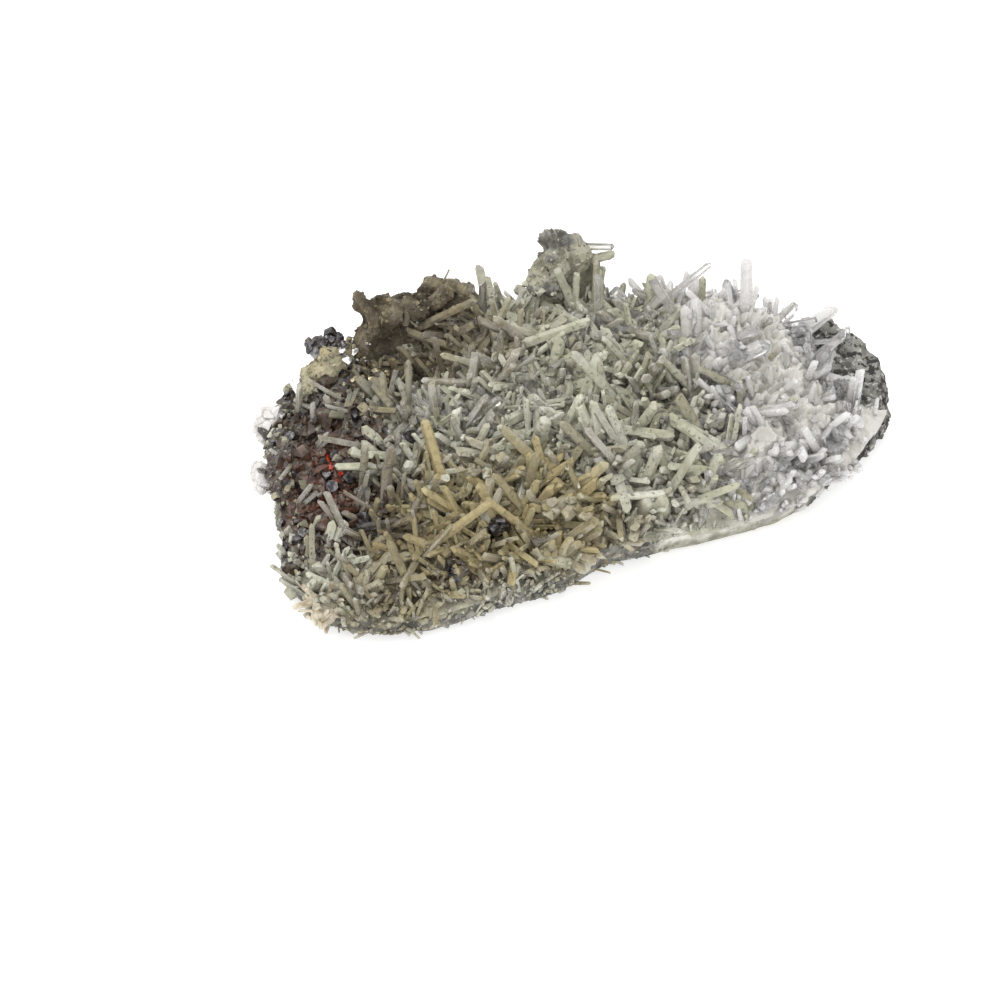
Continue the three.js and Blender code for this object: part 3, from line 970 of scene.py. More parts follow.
# %% [markdown]
# ## Where the druse grows
# The rock's own skin carries the crystals, so it holds the numbers that the tree reads: how
# dense the druse is, and what share of the crystals has clay. There is no quartz on steep
# or overhanging rock, on the bare tip, or in the sphalerite, and little on the knobs. Near
# the edge the crystals are smaller.

# %% Paint the rock
NEST = [(-41, 29, 3, 4, 1.0), (-39.5, 24, 3.5, 5, 1.3), (-41, 20, 3.5, 3, 1.2)]
LEFT_KNOB_EDGE, LOBES_EDGE = -42, -5  # on X: the left knob, then the dark lobes


def druse_value(mesh):
    places, normals = vertices_mm(mesh), normals_of(mesh)
    x, y, z = places.T
    lowest = 4.5 - 1.5 * zone_value(places, "milk") + 7 * ramp(y, 5, 12)
    open_sky = ramp(normals[:, 2], 0.15, 0.5) * (z > lowest)
    bare = np.maximum(in_zone(places, SPHALERITE_ZONE), in_zone(places, BARE_TIP))
    below = 1 - ramp(z, 27, 30)
    nest = bump_at(x, y, (-41, 26), 6, 8)
    return open_sky * below * (1 - bare) * (1 - knob_value(places)) * (1 - nest)


def hem_value(places):
    """1 at the outline and at the bare tip, where crystals stay short, to 0 further in."""
    x, y = places[:, 0], places[:, 1]
    inner = 8 + 4 * zone_value(places, "milk")
    rim = ramp(-to_edge(places) / inner, -1, -0.15) * (0.65 + 0.35 * ramp(x, -45, -12))
    tip = 0.8 * ramp(-to_edge(places, BARE_TIP), -8, -1)
    end = ramp(x, 34, 44) * ramp(-x, -62, -56) * ramp(-y, 5, 15)
    return np.maximum(rim * (1 - 0.3 * end), tip)


def bed_value(mesh):
    """How thick the bed between the crystals lies, as a share of its full height."""
    places = vertices_mm(mesh)
    thickness = 0.5 + 1.9 * zone_value(places, "milk") + 0.5 * zone_value(places, "glassy")
    thickness -= 0.25 * zone_value(places, "ochre")
    return druse_value(mesh) * (1 - 0.75 * hem_value(places)) * thickness


def paint_growth(mesh):
    """A mask for each layer of crystals and grains, and how fine and how coated they are."""
    places, normals = vertices_mm(mesh), normals_of(mesh)
    (x, y, z), up = places.T, normals[:, 2]
    edge, knobs = to_edge(places), knob_value(places)
    milk, glassy = zone_value(places, "milk"), zone_value(places, "glassy")
    far_end = ramp(x, 57, 64)
    druse = druse_value(mesh) * np.clip(edge / 1.5, 0, 1) * (1 - 0.75 * far_end)
    clear = np.clip(milk + 0.6 * glassy - 0.1, 0, 1)
    coated, flat = druse * (1 - 0.8 * clear), ramp(up, 0.45, 0.75)
    band = ramp(x, 14, 26) * ramp(-y, 8, 14) * ramp(-edge, -6, -3) * (z > 2.2)
    band *= ramp(up, 0.1, 0.4) * (1 - in_zone(places, BARE_TIP)) * (1 - far_end)
    on_knob = ramp(up, -0.6, 0.2) * knobs
    peak = ramp(z, 30, 36) * (x > 0)
    corner = ramp(-x - 0.6 * y, 30, 46) * (y < -8)
    rim_left = corner * ramp(-edge, -10, -5) * (z > 2) * ramp(up, -0.5, 0)
    front_left, at_back = ramp(-x - 0.8 * y, 20, 36), ramp(normals[:, 1], 0.2, 0.6)
    side = ramp(-up, -0.55, -0.2) * (z > 1.2) * (1 - knobs)
    side *= np.maximum(np.maximum(front_left, 0.5 * at_back), 0.25 * ramp(-x, -20, 0))
    back = ramp(-edge, -9, -3) * ramp(x, 18, 28) * ramp(y, 0, 8)
    right = ramp(x, 38, 46) * (y < -14) * (z > 1.5)
    at_corner = bump_at(x, y, (-76, -21), 5, 8) * ramp(z, 1.5, 4)
    paint(
        mesh, cream=1, hem=hem_value(places), edge_band=band, crust=on_knob, side=side,
        druse_coated=coated, druse_clear=druse * clear,
        flat_coated=coated * flat, flat_clear=druse * clear * flat,
        raised=np.clip(bed_value(mesh), 0, 1.1),
        lobes=on_knob * (1 - peak) * (x > LEFT_KNOB_EDGE),
        rim_left=rim_left, rim_inner=rim_left * ramp(edge, 1.5, 3.5),
        rim_front=rim_left * ramp(-y, 24, 30), rim_right=right * ramp(-up, -0.75, -0.4),
        side_front=side * (y < -32), corner_mask=at_corner * ramp(up, -0.4, 0.1),
        coat=np.clip(0.8 - 0.9 * milk - 0.5 * glassy, 0.03, 0.8),
        nest=patches_of(places, NEST) * ramp(up, -0.5, 0) * (z > 17),
        fine=np.clip(zone_value(places, "fine") + back - 0.3 * milk, -0.3, 1),
    )


paint_growth(rock_mesh)
print("painted on the rock:", len(rock_mesh.attributes), "layers")

# %% [markdown]
# ## The bed
# Between the crystals that can be told apart lies a mass of tiny intergrown ones. It is too
# fine to build one by one, so it is the rock's own skin once more, raised by a few
# millimetres where the druse grows and pushed up in small cones by a cell pattern. Elsewhere
# it lies just inside the rock, so that it stays one closed body.

# %% The bed's tree and finish
HIDDEN = 2.4  # how deep the bed lies in the rock where there is no druse, in mm
raise_bed, given = geometry_tree("raise the bed", {
    "Height": 2.2 * MM, "Hidden": HIDDEN * MM, "Cell": 2.4 * MM, "Cone": 1.5 * MM,
})
place = position(raise_bed)
place = place + clouds(place, 300.0, 1.0).output("Color") * 0.003
cones = 1.0 - (cells(place, 1.0 / given["Cell"]) + cells(place, 2.1 / given["Cell"]) * 0.5)
here = named(raise_bed, "bed")
rise = (cones * given["Cone"] + given["Height"]) * here
rise = rise - here.ease(0.0, 0.12, 1.0, 0.0) * given["Hidden"]
rise = maths("MAXIMUM", rise, named(raise_bed, "mound") * MM - given["Hidden"])
hand_back(moved(given["Geometry"], normal(raise_bed) * rise))


def bed_colour(tree):
    # painted shade: in the ochre zone the bed between the crystals is painted dark brown, as shade
    # in the gaps
    shade = stored(tree, "ochre").ease(0.1, 0.7).mix((166, 163, 145), (66, 55, 39))
    khaki = noise(tree, 420, 3).ease(0.45, 0.65).mix(shade, clay_of(tree))
    glassy = noise(tree, 360, 3).ease(0.4, 0.65).mix((132, 129, 120), (176, 173, 164))
    tint = stored(tree, "glassy").ease(0.2, 0.8).mix(khaki, glassy)
    white = noise(tree, 260, 3).ease(0.4, 0.65).mix((186, 183, 176), (206, 204, 199))
    return stored(tree, "milk").ease(0.3, 0.9).mix(tint, white)


druse_bed = finish(
    "druse bed",
    {
        "Subsurface Weight": 0.5, "Subsurface Scale": 2 * MM,
        "Subsurface Radius": WHITE_SCATTER,
    },
    bump=(grainy(900, 3), 0.15 * MM, 0.6),
    Base_Color=bed_colour,
    Roughness=varied(500, 3, 0.4, 0.6, 0.25, 0.6),
)
print("the bed's tree:", len(raise_bed.nodes), "nodes")

# %% Raise the bed
PERCHES = [  # where a long crystal or a cube lies high and the bed swells up to carry it
    (6, -32.5, 17.4), (2.5, -31.8, 17.6), (-5.5, 16, 23.5), (4.5, 6.4, 24.6), (-41, 15.3, 22.7),
    (45, 19.2, 19), (-43, -33.5, 13.2),
]


def mound_value(mesh):
    """How far the bed stands above its hidden level, in mm, where it carries something."""
    (x, y, z), total = vertices_mm(mesh).T, np.zeros(len(mesh.vertices))
    for perch_x, perch_y, perch_z in PERCHES:
        missing = np.clip(perch_z - z, 0, 7) + HIDDEN
        beside = np.hypot(x - perch_x, y - perch_y)
        total = np.maximum(total, missing * np.exp(-(beside / 3) ** 3))
    return total * ramp(normals_of(mesh)[:, 2], 0.2, 0.5)


bed_mesh = even_skin(merged_copy("rock_matrix"), 0.8 * MM)
shape_knobs(bed_mesh)
paint(bed_mesh, mound=mound_value(bed_mesh), bed=bed_value(bed_mesh))
places = vertices_mm(bed_mesh)  # the knobs carry no bed, so it runs on level inside them
places[:, 2] -= 0.9 * ramp(knob_value(places), 0.3, 0.7) * np.clip(places[:, 2] - 14, 0, 40)
move_vertices(bed_mesh, places)
bed_mesh = run_tree(raise_bed, bed_mesh, "druse_bed")
paint_zones(bed_mesh)
paint(bed_mesh, tone=0.5)
piece("druse_bed", bed_mesh, ["quartz_druse"], [druse_bed])

# %% Grow the druse
LAYERS = [
    # name, shapes, body, mask, spacing, width, seed, lean, spray, lift, rise
    ("druse_fine", singles, milky_quartz, "druse_coated", 1.3, 1.1, 3, 1.3, 1.0, 0.2, 1.6),
    ("druse_small", singles, milky_quartz, "druse_coated", 1.9, 1.8, 5, 1.7, 1.2, 0.2, 1.3),
    ("druse_medium", sheaves, milky_quartz, "flat_coated", 3.0, 2.6, 11, 2.4, 1.6, 0.1, 1.0),
    ("druse_lying", sheaves, milky_quartz, "flat_coated", 4.8, 3.0, 17, 4.0, 1.6, 0.0, 2.4),
    ("milky_small", singles, milky_quartz, "druse_clear", 2.3, 1.9, 23, 2.0, 1.2, 0.1, 1.5),
    ("milky_medium", sheaves, milky_quartz, "flat_clear", 3.6, 3.0, 24, 3.0, 1.6, 0.0, 1.2),
    ("edge_small", sheaves, milky_quartz, "edge_band", 2.0, 2.6, 27, 1.6, 1.0, 0.3, 0.6),
    ("clear_small", singles, clear_quartz, "druse_clear", 3.4, 1.7, 25, 2.0, 1.2, 0.1, 2.0),
    ("clear_medium", sheaves, clear_quartz, "flat_clear", 4.2, 3.0, 26, 3.0, 1.6, 0.0, 1.8),
]
for *row, lean, spray, lift, rise in LAYERS:
    grow_piece(rock_mesh, *row, lean=lean, spray=spray, lift=lift, rise=rise)

# %% [markdown]
# ## Large crystals
# These can be told apart one by one, so each has its own row: root, azimuth and lean of its
# axis in degrees, length, and width, in millimetres. The first table repeats the solids in
# the frame, and each crystal stands for its own node. The second holds more of the same kind
# that are too many for the frame.

# %% The tables
CLEAR_CRYSTALS = [
    ("grey_upright", (13, 13.5, 21), 70, 15, 17, 3),
    ("knob_side_high", (18, 31, 34), -45, 75, 7, 2),
    ("back_left", (-10.5, 26.5, 22), 65, 20, 13, 2.3),
    ("back_spike", (31, 17.5, 23), -10, 50, 15, 2.3),
    ("ridge_lying", (45, 19.5, 19), -45, 75, 12, 1.8),
    ("ridge_upright", (56, -2.5, 15), 35, 25, 10.5, 2.3),
    ("clear_blade", (31.5, -5, 19), -20, 60, 16.5, 4.1),
    ("clear_upright", (42.5, -16.5, 13.5), 80, 10, 12, 2.3),
    ("bright_point", (41.5, -19, 13), -10, 30, 10.5, 2),
    ("milky_leaning", (55, -14.5, 13), 10, 20, 12.5, 2.7),
    ("end_upright", (68.5, -5, 12), 75, 25, 7, 1.5),
    ("bright_upright", (7, -18.5, 16.5), 65, 10, 12.5, 1.8),
    ("grey_post", (-13, 11, 21.5), 65, 10, 11, 2),
    ("bluish_stub", (16, -35, 9.5), -115, 70, 8, 3.2),
    ("glassy_bar", (-15.5, -33.5, 11.5), -170, 80, 12.5, 2.7),
    ("clear_double", (-58, -14, 12), -40, 65, 10, 2.3),
]
COATED_CRYSTALS = [
    ("knob_foot", (3.5, 34.5, 22.5), -75, 80, 21, 2.7),
    ("knob_leaning", (11.5, 21, 22), 155, 20, 17, 2.5),
    ("knob_side_low", (17.5, 30, 31), -30, 70, 7, 2.3),
    ("grey_brown", (-23, 31.5, 24), -30, 55, 15, 2.3),
    ("back_point", (27, 17.5, 20.5), 50, 25, 11.5, 2.7),
    ("crossing", (-5.5, 16, 24), -25, 65, 17.5, 2.5),
    ("long_slanted", (8.5, -9, 20), 145, 40, 19, 2.7),
    ("khaki_upright", (13.5, -5.5, 19.5), 20, 20, 11.5, 2),
    ("khaki_slanted", (26, -10, 19), 150, 40, 13, 2.3),
    ("long_thin", (39, -15, 17), 160, 55, 17, 2.3),
    ("broad_pale", (22.5, -22.5, 15), 135, 30, 15, 3.4),
    ("blunt", (-2.5, -19.5, 16.5), 150, 40, 14, 2.7),
    ("pale_slanted", (4.5, -20, 16.5), 125, 25, 13, 2.5),
    ("pair_left", (0.5, -23, 15), -20, 35, 11.5, 2.7),
    ("pair_right", (4.5, -28, 12.5), 0, 20, 12, 3),
    ("green_fan", (-11, -24, 13.5), -25, 40, 12, 3),
    ("front_bar", (6, -34, 15.2), 170, 85, 12.5, 2),
    ("hollow_block", (18.5, -32, 10), 0, 20, 10.5, 3.4),
    ("cream_block", (43.5, -35, 9), -170, 80, 13, 3),
    ("amber_blade", (-16.5, -39.5, 7), 170, 65, 13, 3.2),
    ("ochre_slanted", (-14.5, -18, 16), 150, 40, 16, 2.7),
    ("ochre_arm", (-21.5, -21.5, 13), 10, 15, 13.5, 2.5),
    ("ochre_upright", (-30.5, -3, 17.5), 45, 10, 10.5, 2.3),
    ("brown_bar", (-22.5, -27.5, 12.5), 145, 35, 15, 2.5),
    ("tan_bar", (-24.5, -31, 12.5), 155, 45, 14, 2),
    ("tan_branch", (-45.5, -26, 12.5), -25, 45, 18.5, 2.3),
    ("tan_blade", (-54, -32.5, 8.5), 125, 25, 12.5, 2.3),
    ("khaki_post", (-53.5, -4.5, 12), 45, 10, 13.5, 2),
    ("grey_green", (-46, 13.5, 18), 175, 65, 9.5, 2),
]
MORE_CLEAR = [
    ((5, 6.5, 25), -165, 85, 10, 1.6), ((37, 3.5, 19), 65, 15, 11, 1.6),
    ((34, 2, 19), 105, 20, 11.5, 1.4), ((47, 1, 17.5), -10, 25, 9.5, 2),
    ((53.5, 7, 16.5), 65, 10, 6.5, 1.4), ((33.5, 3, 22), 175, 80, 13, 1.1),
    ((42.5, 17.5, 22), -170, 85, 7, 1.4), ((55, -2.5, 18), -30, 80, 12, 1.6),
    ((40.5, -26.5, 11), -20, 35, 7, 1.4), ((36, -19.5, 16), -40, 80, 9, 2.3),
    ((32, -27.5, 13.5), -30, 70, 8, 1.8), ((42, -32, 9), 5, 25, 10.5, 3.2),
    ((32.5, -8.5, 18), -15, 55, 10, 1.1), ((31.5, -9, 17.5), -20, 60, 10, 1.1),
    ((20, -19, 16), -20, 50, 9, 1.1), ((20.5, -20.5, 15.5), -20, 50, 9, 1.1),
    ((48, -6.5, 16), -25, 50, 8, 2), ((54, -23.5, 11), -15, 30, 7, 1.8),
    ((49, -29, 9.5), -25, 50, 9, 3), ((27.5, -39, 6.5), -25, 50, 7.5, 3.6),
    ((29, -38.5, 2.5), -20, 55, 9, 3.6), ((38.5, -33.5, 9), -10, 30, 8.5, 2.5),
    ((37.5, -1, 18.5), -25, 55, 10.5, 1.8), ((44, 16.5, 18), -25, 50, 8.5, 1.6),
    ((43, 5, 19), -5, 30, 9, 1.6), ((46, -19, 13), -10, 35, 10.5, 2),
    ((52, -23, 11), 20, 20, 9, 1.8), ((32.5, -32.5, 9.5), -20, 40, 8, 2),
    ((33, 21, 21.3), -10, 65, 9, 1.3),
]
MORE_COATED = [
    ((13.5, -30, 12.5), -60, 80, 9.5, 2.7), ((7.5, -16, 17), -15, 30, 11, 2.7),
    ((21, -15, 16.5), -10, 30, 9, 1.4), ((-14.5, -11.5, 17), 10, 20, 11, 3.4),
    ((-7.5, -10.5, 18.5), 0, 25, 11.5, 2.3), ((-1, -18, 16.5), 140, 30, 11, 1.6),
    ((-2, -13.5, 18), 50, 15, 10, 1.6), ((15, 2.5, 21.5), 145, 40, 9.5, 1.6),
    ((38.5, 12.5, 20), 60, 15, 10.5, 2), ((22, 7, 21), -20, 55, 10.5, 2.5),
    ((-9.5, -28, 12), 115, 30, 12, 1.8), ((-15, -35.5, 9), -15, 45, 8.5, 1.4),
    ((-10, -35, 8.5), 135, 35, 11.5, 3.2), ((12, -28, 14), -100, 80, 13.5, 2),
    ((10.5, 28, 25.5), -85, 85, 11, 2.3), ((-26, -26.5, 12.5), 5, 30, 12.5, 1.8),
    ((-26.5, -25.5, 13), -5, 40, 10, 1.8), ((-27, -30.5, 10.5), 5, 25, 9, 1.8),
    ((-33, -39.5, 4.5), 30, 25, 8, 2), ((-21, -38, 8), -5, 30, 7.5, 3),
    ((-18.5, -19.5, 14), 80, 15, 9, 3.2), ((-28.5, -25, 12), 0, 35, 7.5, 1.6),
    ((-61, -29, 7.5), -5, 25, 7, 2), ((-35, 12.5, 19.5), 65, 20, 10.5, 1.6),
    ((-41, 16, 22.5), -90, 80, 9, 1.8), ((12.5, 0, 20.5), -5, 30, 8, 1.6),
    ((-3.5, 12.5, 23), -15, 50, 9, 1.6), ((4.5, -37.5, 6.5), -10, 35, 4.5, 1.8),
    ((24.5, -38, 4), -15, 30, 5, 2.5), ((7, 29, 23), 30, 25, 8.5, 2),
    ((10, 21, 22), 55, 20, 12.5, 1.8), ((15.5, 21.5, 21.5), 60, 20, 13.5, 2),
    ((44, -8.5, 15.5), 0, 20, 8, 2.3), ((-12, -23.5, 14), -20, 50, 11.5, 1.8),
    ((-12, -25, 13.5), -25, 55, 11.5, 1.6), ((25.5, -30.5, 11), -15, 40, 9, 2),
    ((-40, -6.5, 15.5), 135, 30, 10, 1.8), ((-42.5, -18, 13), 125, 25, 10, 1.8),
    ((-55, -13, 11), 15, 20, 7, 1.6), ((-53, -25.5, 10), 130, 30, 9, 1.6),
    ((-66.5, -31.5, 6.5), 140, 30, 7, 1.8), ((-67, -27, 7), 150, 60, 10, 1.6),
    ((-68.5, -32.5, 6), 150, 60, 8, 1.8), ((-10.5, 26, 22), 120, 20, 10, 1.6),
    ((-9.5, 23, 22.5), 5, 25, 11, 1.8), ((-5.5, 18, 22), 50, 15, 10.5, 1.8),
]
ROWS = (CLEAR_CRYSTALS, COATED_CRYSTALS, MORE_CLEAR, MORE_COATED)
print("large crystals:", [len(rows) for rows in ROWS])

# %% Settle clay on a large crystal
settle, given = geometry_tree("settle clay", {
    "Body": "Material", "Coat": "Material", "Cover": "Float", "Level": 2,
    "Thickness": 0.25 * MM, "Settled": SETTLED,
})
place = position(settle)
finer = {"Mesh": given["Geometry"], "Level": given["Level"]}
fine_mesh = put(settle, "GeometryNodeSubdivideMesh", finer)
facing = maths("DOT_PRODUCT", normal(settle), given["Settled"]).output("Value")
reach = facing + (clouds(place, 450.0, 3.0) * 1.2 - 0.6)
least = given["Cover"] + (named(settle, "tone") * 0.8 - 0.4)
fine_mesh = store(fine_mesh, "cover", reach.ease(least, least + 0.25))
cover = named(settle, "cover")
matt = cover > 0.5
raise_by = cover * given["Thickness"] * (clouds(place, 1100.0, 2.0) * 2.0 - 0.5)
coated = covered(moved(fine_mesh, normal(settle) * raise_by), given["Body"])
coated = covered(coated, given["Coat"], Selection=matt)
smooth = {"Geometry": coated, "Selection": matt, "Shade Smooth": True}
hand_back(put(settle, "GeometryNodeSetShadeSmooth", smooth))
print("the settling tree:", len(settle.nodes), "nodes")

# %% Place the large crystals
FOOT = 2.5  # how far a crystal runs on into what carries it
RUNG = 1.3  # the height of one ring of faces
SLIVER = 0.01  # edges shorter than this collapse


def crystal_place(root, azimuth, lean):
    """Root at `root`, tip along the leaning axis, broad side as in the frame's solid."""
    turn, tilt = math.radians(azimuth), math.radians(lean)
    way = Vector((math.sin(tilt) * math.cos(turn), math.sin(tilt) * math.sin(turn), math.cos(tilt)))
    rotation = Vector((0, 1, 0)).rotation_difference(way).to_matrix().to_4x4()
    return Matrix.Translation(root) @ rotation @ Matrix.Rotation(math.radians(-90), 4, "X")


def large_crystal(root, azimuth, lean, length, width, seed):
    rungs = max(3, round(length / RUNG))
    broken = seed % 3 == 1
    bm = crystal_bmesh(width, length + FOOT, seed, broken=broken, rungs=rungs, soften=0.045 * width)
    bmesh.ops.dissolve_degenerate(bm, dist=SLIVER, edges=bm.edges[:])
    bm.transform(Matrix.Translation(up_axis(-FOOT)))
    tone = bm.verts.layers.float.new("tone")
    shade = np.random.default_rng(seed + 7).uniform()
    for vert in bm.verts:
        vert[tone] = shade
    bm.transform(Matrix.Scale(MM, 4) @ crystal_place(root, azimuth, lean))
    return bm


def join_crystals(rows, first_seed):
    bm = bmesh.new()
    for k, row in enumerate(rows):
        add_shape(bm, large_crystal(*row, seed=first_seed + k))
    return to_mesh(bm, "crystals")


def place_quartz(name, mesh, body, slot, cover, nodes=()):
    made = run_tree(settle, mesh, name, body=body, coat=clay_coat, cover=cover)
    paint_zones(made)
    piece(name, made, nodes)


CLEAN = 2.0  # a cover that no face reaches, so that no clay settles
for first_seed, rows, *looks in (
    (200, CLEAR_CRYSTALS, clear_quartz, "quartz_clear", CLEAN),
    (300, COATED_CRYSTALS, milky_quartz, "quartz_coated", -0.15),
):
    for k, (name, *row) in enumerate(rows):
        mesh = to_mesh(large_crystal(*row, seed=first_seed + k), name)
        place_quartz("quartz_" + name, mesh, *looks, ["crystal_" + name])
for name, rows, *looks in (
    ("large_clear_quartz", MORE_CLEAR, clear_quartz, "quartz_clear", CLEAN),
    ("large_coated_quartz", MORE_COATED, milky_quartz, "quartz_coated", -0.1),
):
    place_quartz(name, join_crystals(rows, 400), *looks)

# %% [markdown]
# ## Ores
# Sphalerite, galena and pyrite grow as blocky grains, not prisms. The same tree grows them
# with other shapes: uneven chunks for sphalerite, cubes for galena and pyrite. Each mineral
# has its own lustre: resin-like, bright lead-grey and brassy.

# %% Ore finishes
def dusty(tree, tint, scale, low, high):
    """The tint under thin patches of clay."""
    return (noise(tree, scale, 4).ease(low, high) * 0.35).mix(tint, clay_of(tree))


def ore(name, dark, light, rough, metal):
    def colour(tree):
        tint = noise(tree, 900, 3).ease(0.4, 0.65).mix(dark, light)
        return dusty(tree, tint, 500, 0.52, 0.7)
    return finish(
        name, {"Metallic": metal},
        bump=(grainy(1500, 3), 0.12 * MM, 0.5),
        Base_Color=colour, Roughness=varied(700, 2, 0.4, 0.7, rough, rough + 0.3),
    )


def sphalerite_colour(tree):
    dark = noise(tree, 700, 3).ease(0.4, 0.65).mix((27, 21, 16), (76, 59, 43))
    red = noise(tree, 600, 2).ease(0.4, 0.6).mix((44, 25, 16), (94, 53, 36))
    return dusty(tree, stored(tree, "red").mix(dark, red), 420, 0.53, 0.68)


sphalerite = finish(
    "sphalerite", {"Coat Weight": 0.3, "Coat Roughness": 0.15},
    bump=(grainy(1200, 3), 0.2 * MM, 0.6),
    Base_Color=sphalerite_colour, Roughness=varied(700, 2, 0.4, 0.7, 0.25, 0.6),
)
ruby_sphalerite = ore("ruby sphalerite", (150, 40, 24), (214, 92, 60), 0.15, 0.0)
galena = ore("galena", (62, 60, 62), (122, 119, 121), 0.2, 0.9)
bright_galena = ore("bright galena", (110, 108, 108), (224, 221, 218), 0.15, 0.9)
pyrite = ore("pyrite", (112, 106, 92), (200, 186, 150), 0.2, 0.9)


# %% Rock and calcite finishes
def rock_colour(tree):
    """Grey stone with pale and dark flecks, then clay, painted shade in the creases, and the pale
    front rim with painted shade on its lower band.
    """
    speckle = stored(tree, "speckle")
    stone = noise(tree, 220, 5).ease(0.35, 0.65).mix((86, 85, 80), (150, 149, 142))
    flecks = noise(tree, 900, 2).ease(0.58, 0.64) * (speckle * 0.9 + 0.1)
    stone = flecks.mix(stone, (184, 182, 176))
    stone = (noise(tree, 520, 4).ease(0.5, 0.58) * speckle).mix(stone, (54, 53, 51))
    stone = (stored(tree, "smoky") * 0.75).mix(stone, (98, 85, 63))
    clay = stored(tree, "clay") + (noise(tree, 420, 4) * 1.2 - 0.6)
    tint = clay.ease(0.35, 0.6).mix(stone, clay_of(tree))
    # painted shade: dark brown in the creases between the lumps
    tint = (stored(tree, "crease") * 0.8).mix(tint, (44, 37, 28))
    # painted shade: the front rim's crust is pale on top and darker grey on its lower band, as
    # shade
    blotches = noise(tree, 500, 4).ease(0.4, 0.65)
    top = blotches.mix((218, 216, 207), (184, 182, 169))
    low = blotches.mix((164, 162, 147), (128, 126, 112))
    crust = stored(tree, "pale_top").mix(low, top)
    return stored(tree, "pale").ease(0.3, 0.6).mix(tint, crust)


def calcite_colour(tree):
    white = noise(tree, 300, 3).ease(0.4, 0.7).mix((214, 211, 208), (196, 191, 187))
    cream = noise(tree, 400, 3).ease(0.4, 0.65).mix((200, 191, 172), (152, 139, 114))
    return stored(tree, "cream").mix(white, cream)


vein_rock = finish(
    "vein rock", {"Roughness": 0.85, "Specular IOR Level": 0.3},
    bump=(grainy(600, 7, 0.65), 0.6 * MM, 0.8),
    Base_Color=rock_colour,
)
calcite = finish(
    "calcite",
    {
        "Roughness": 0.5, "Subsurface Weight": 0.4, "Subsurface Scale": 1.5 * MM,
        "Subsurface Radius": WHITE_SCATTER,
    },
    bump=(grainy(1000, 3), 0.15 * MM, 0.5),
    Base_Color=calcite_colour,
)
print("ore and rock finishes:", [m.name for m in (sphalerite, galena, pyrite, vein_rock, calcite)])

# %% Grain shapes
CHUNK_POINTS = 11  # few, so that a grain has large flat faces


def chunk(seed):
    """An uneven grain about 1 mm across: the hull of a few points."""
    rng = np.random.default_rng(seed)
    bm = bmesh.new()
    for _ in range(CHUNK_POINTS):
        way = Vector(rng.normal(size=3)).normalized()
        bm.verts.new(way * rng.uniform(0.42, 0.58))
    bmesh.ops.convex_hull(bm, input=bm.verts[:])
    loose = [v for v in bm.verts if not v.link_faces]
    bmesh.ops.delete(bm, geom=loose, context="VERTS")
    bmesh.ops.recalc_face_normals(bm, faces=bm.faces[:])
    return bm


def cubic(seed, corner=0.16):
    """A cube with its corners cut, as galena and pyrite often show."""
    rng = np.random.default_rng(seed)
    bm = bmesh.new()
    sides = Matrix.Diagonal((*rng.uniform(0.75, 1.0, 3), 1))
    bmesh.ops.create_cube(bm, size=1, matrix=sides)
    for corner_way in [(1, 1, 1), (-1, 1, 1), (1, -1, 1), (-1, -1, 1)]:
        out = Vector(corner_way).normalized()
        cut(bm, out * (0.8 - corner * rng.uniform(0.6, 1.6)), out)
    bmesh.ops.recalc_face_normals(bm, faces=bm.faces[:])
    return bm


def blade(k):
    return crystal_bmesh(1, 1.5 + 0.25 * k, 70 + k, flat=0.45, broken=k % 2 == 0, rungs=2)


chunks = patterns("chunks", [chunk(k) for k in range(10)])
cubes = patterns("cubes", [cubic(k) for k in range(6)])
blades = patterns("blades", [blade(k) for k in range(6)])


# %% Grow the ores
def rough_skin(node, name, square, chip, grit):
    """A weathered skin on a node's solid. Chip and grit are sizes and depths in mm."""
    mesh = even_skin(merged_copy(node), square * MM)
    paint(mesh, rough=1)
    return weathered(mesh, name, chip, grit)


def paint_ores(mesh):
    places, edge_gap = vertices_mm(mesh), to_edge(vertices_mm(mesh))
    x, y = places[:, 0], places[:, 1]
    open_sky = ramp(normals_of(mesh)[:, 2], -0.4, 0.2)
    red = patches_of(places, [(-60, 1, 9, 9, 1.0), (-64, -8, 7, 6, 0.7)])
    ruby = patches_of(places, [(-56, 4.5, 3.5, 1.6, 1), (-57.5, 0, 2.5, 1.4, 1)])
    edge = ramp(-edge_gap, -9, -3)
    quartz = ramp(edge_gap, 2, 5) * np.clip(0.5 * edge + 0.35 + 0.5 * (x > -56), 0, 1)
    quartz *= (1 - 0.7 * red) * (1 - bump_at(x, y, (-47, 25), 12, 9))
    paint(
        mesh, red=red, ruby_mask=open_sky * ruby, sphalerite_mask=open_sky,
        galena_mask=open_sky * np.clip(0.1 + 0.5 * edge, 0, 1),
        pyrite_mask=open_sky * patches_of(places, [(-46, 18, 6, 6, 0.7)]),
        quartz_mask=open_sky * quartz, hem=ramp(-edge_gap, -7, -2),
        coat=np.clip(0.12 + 0.4 * edge - 0.1 * red, 0, 1),
    )
    paint_zones(mesh)


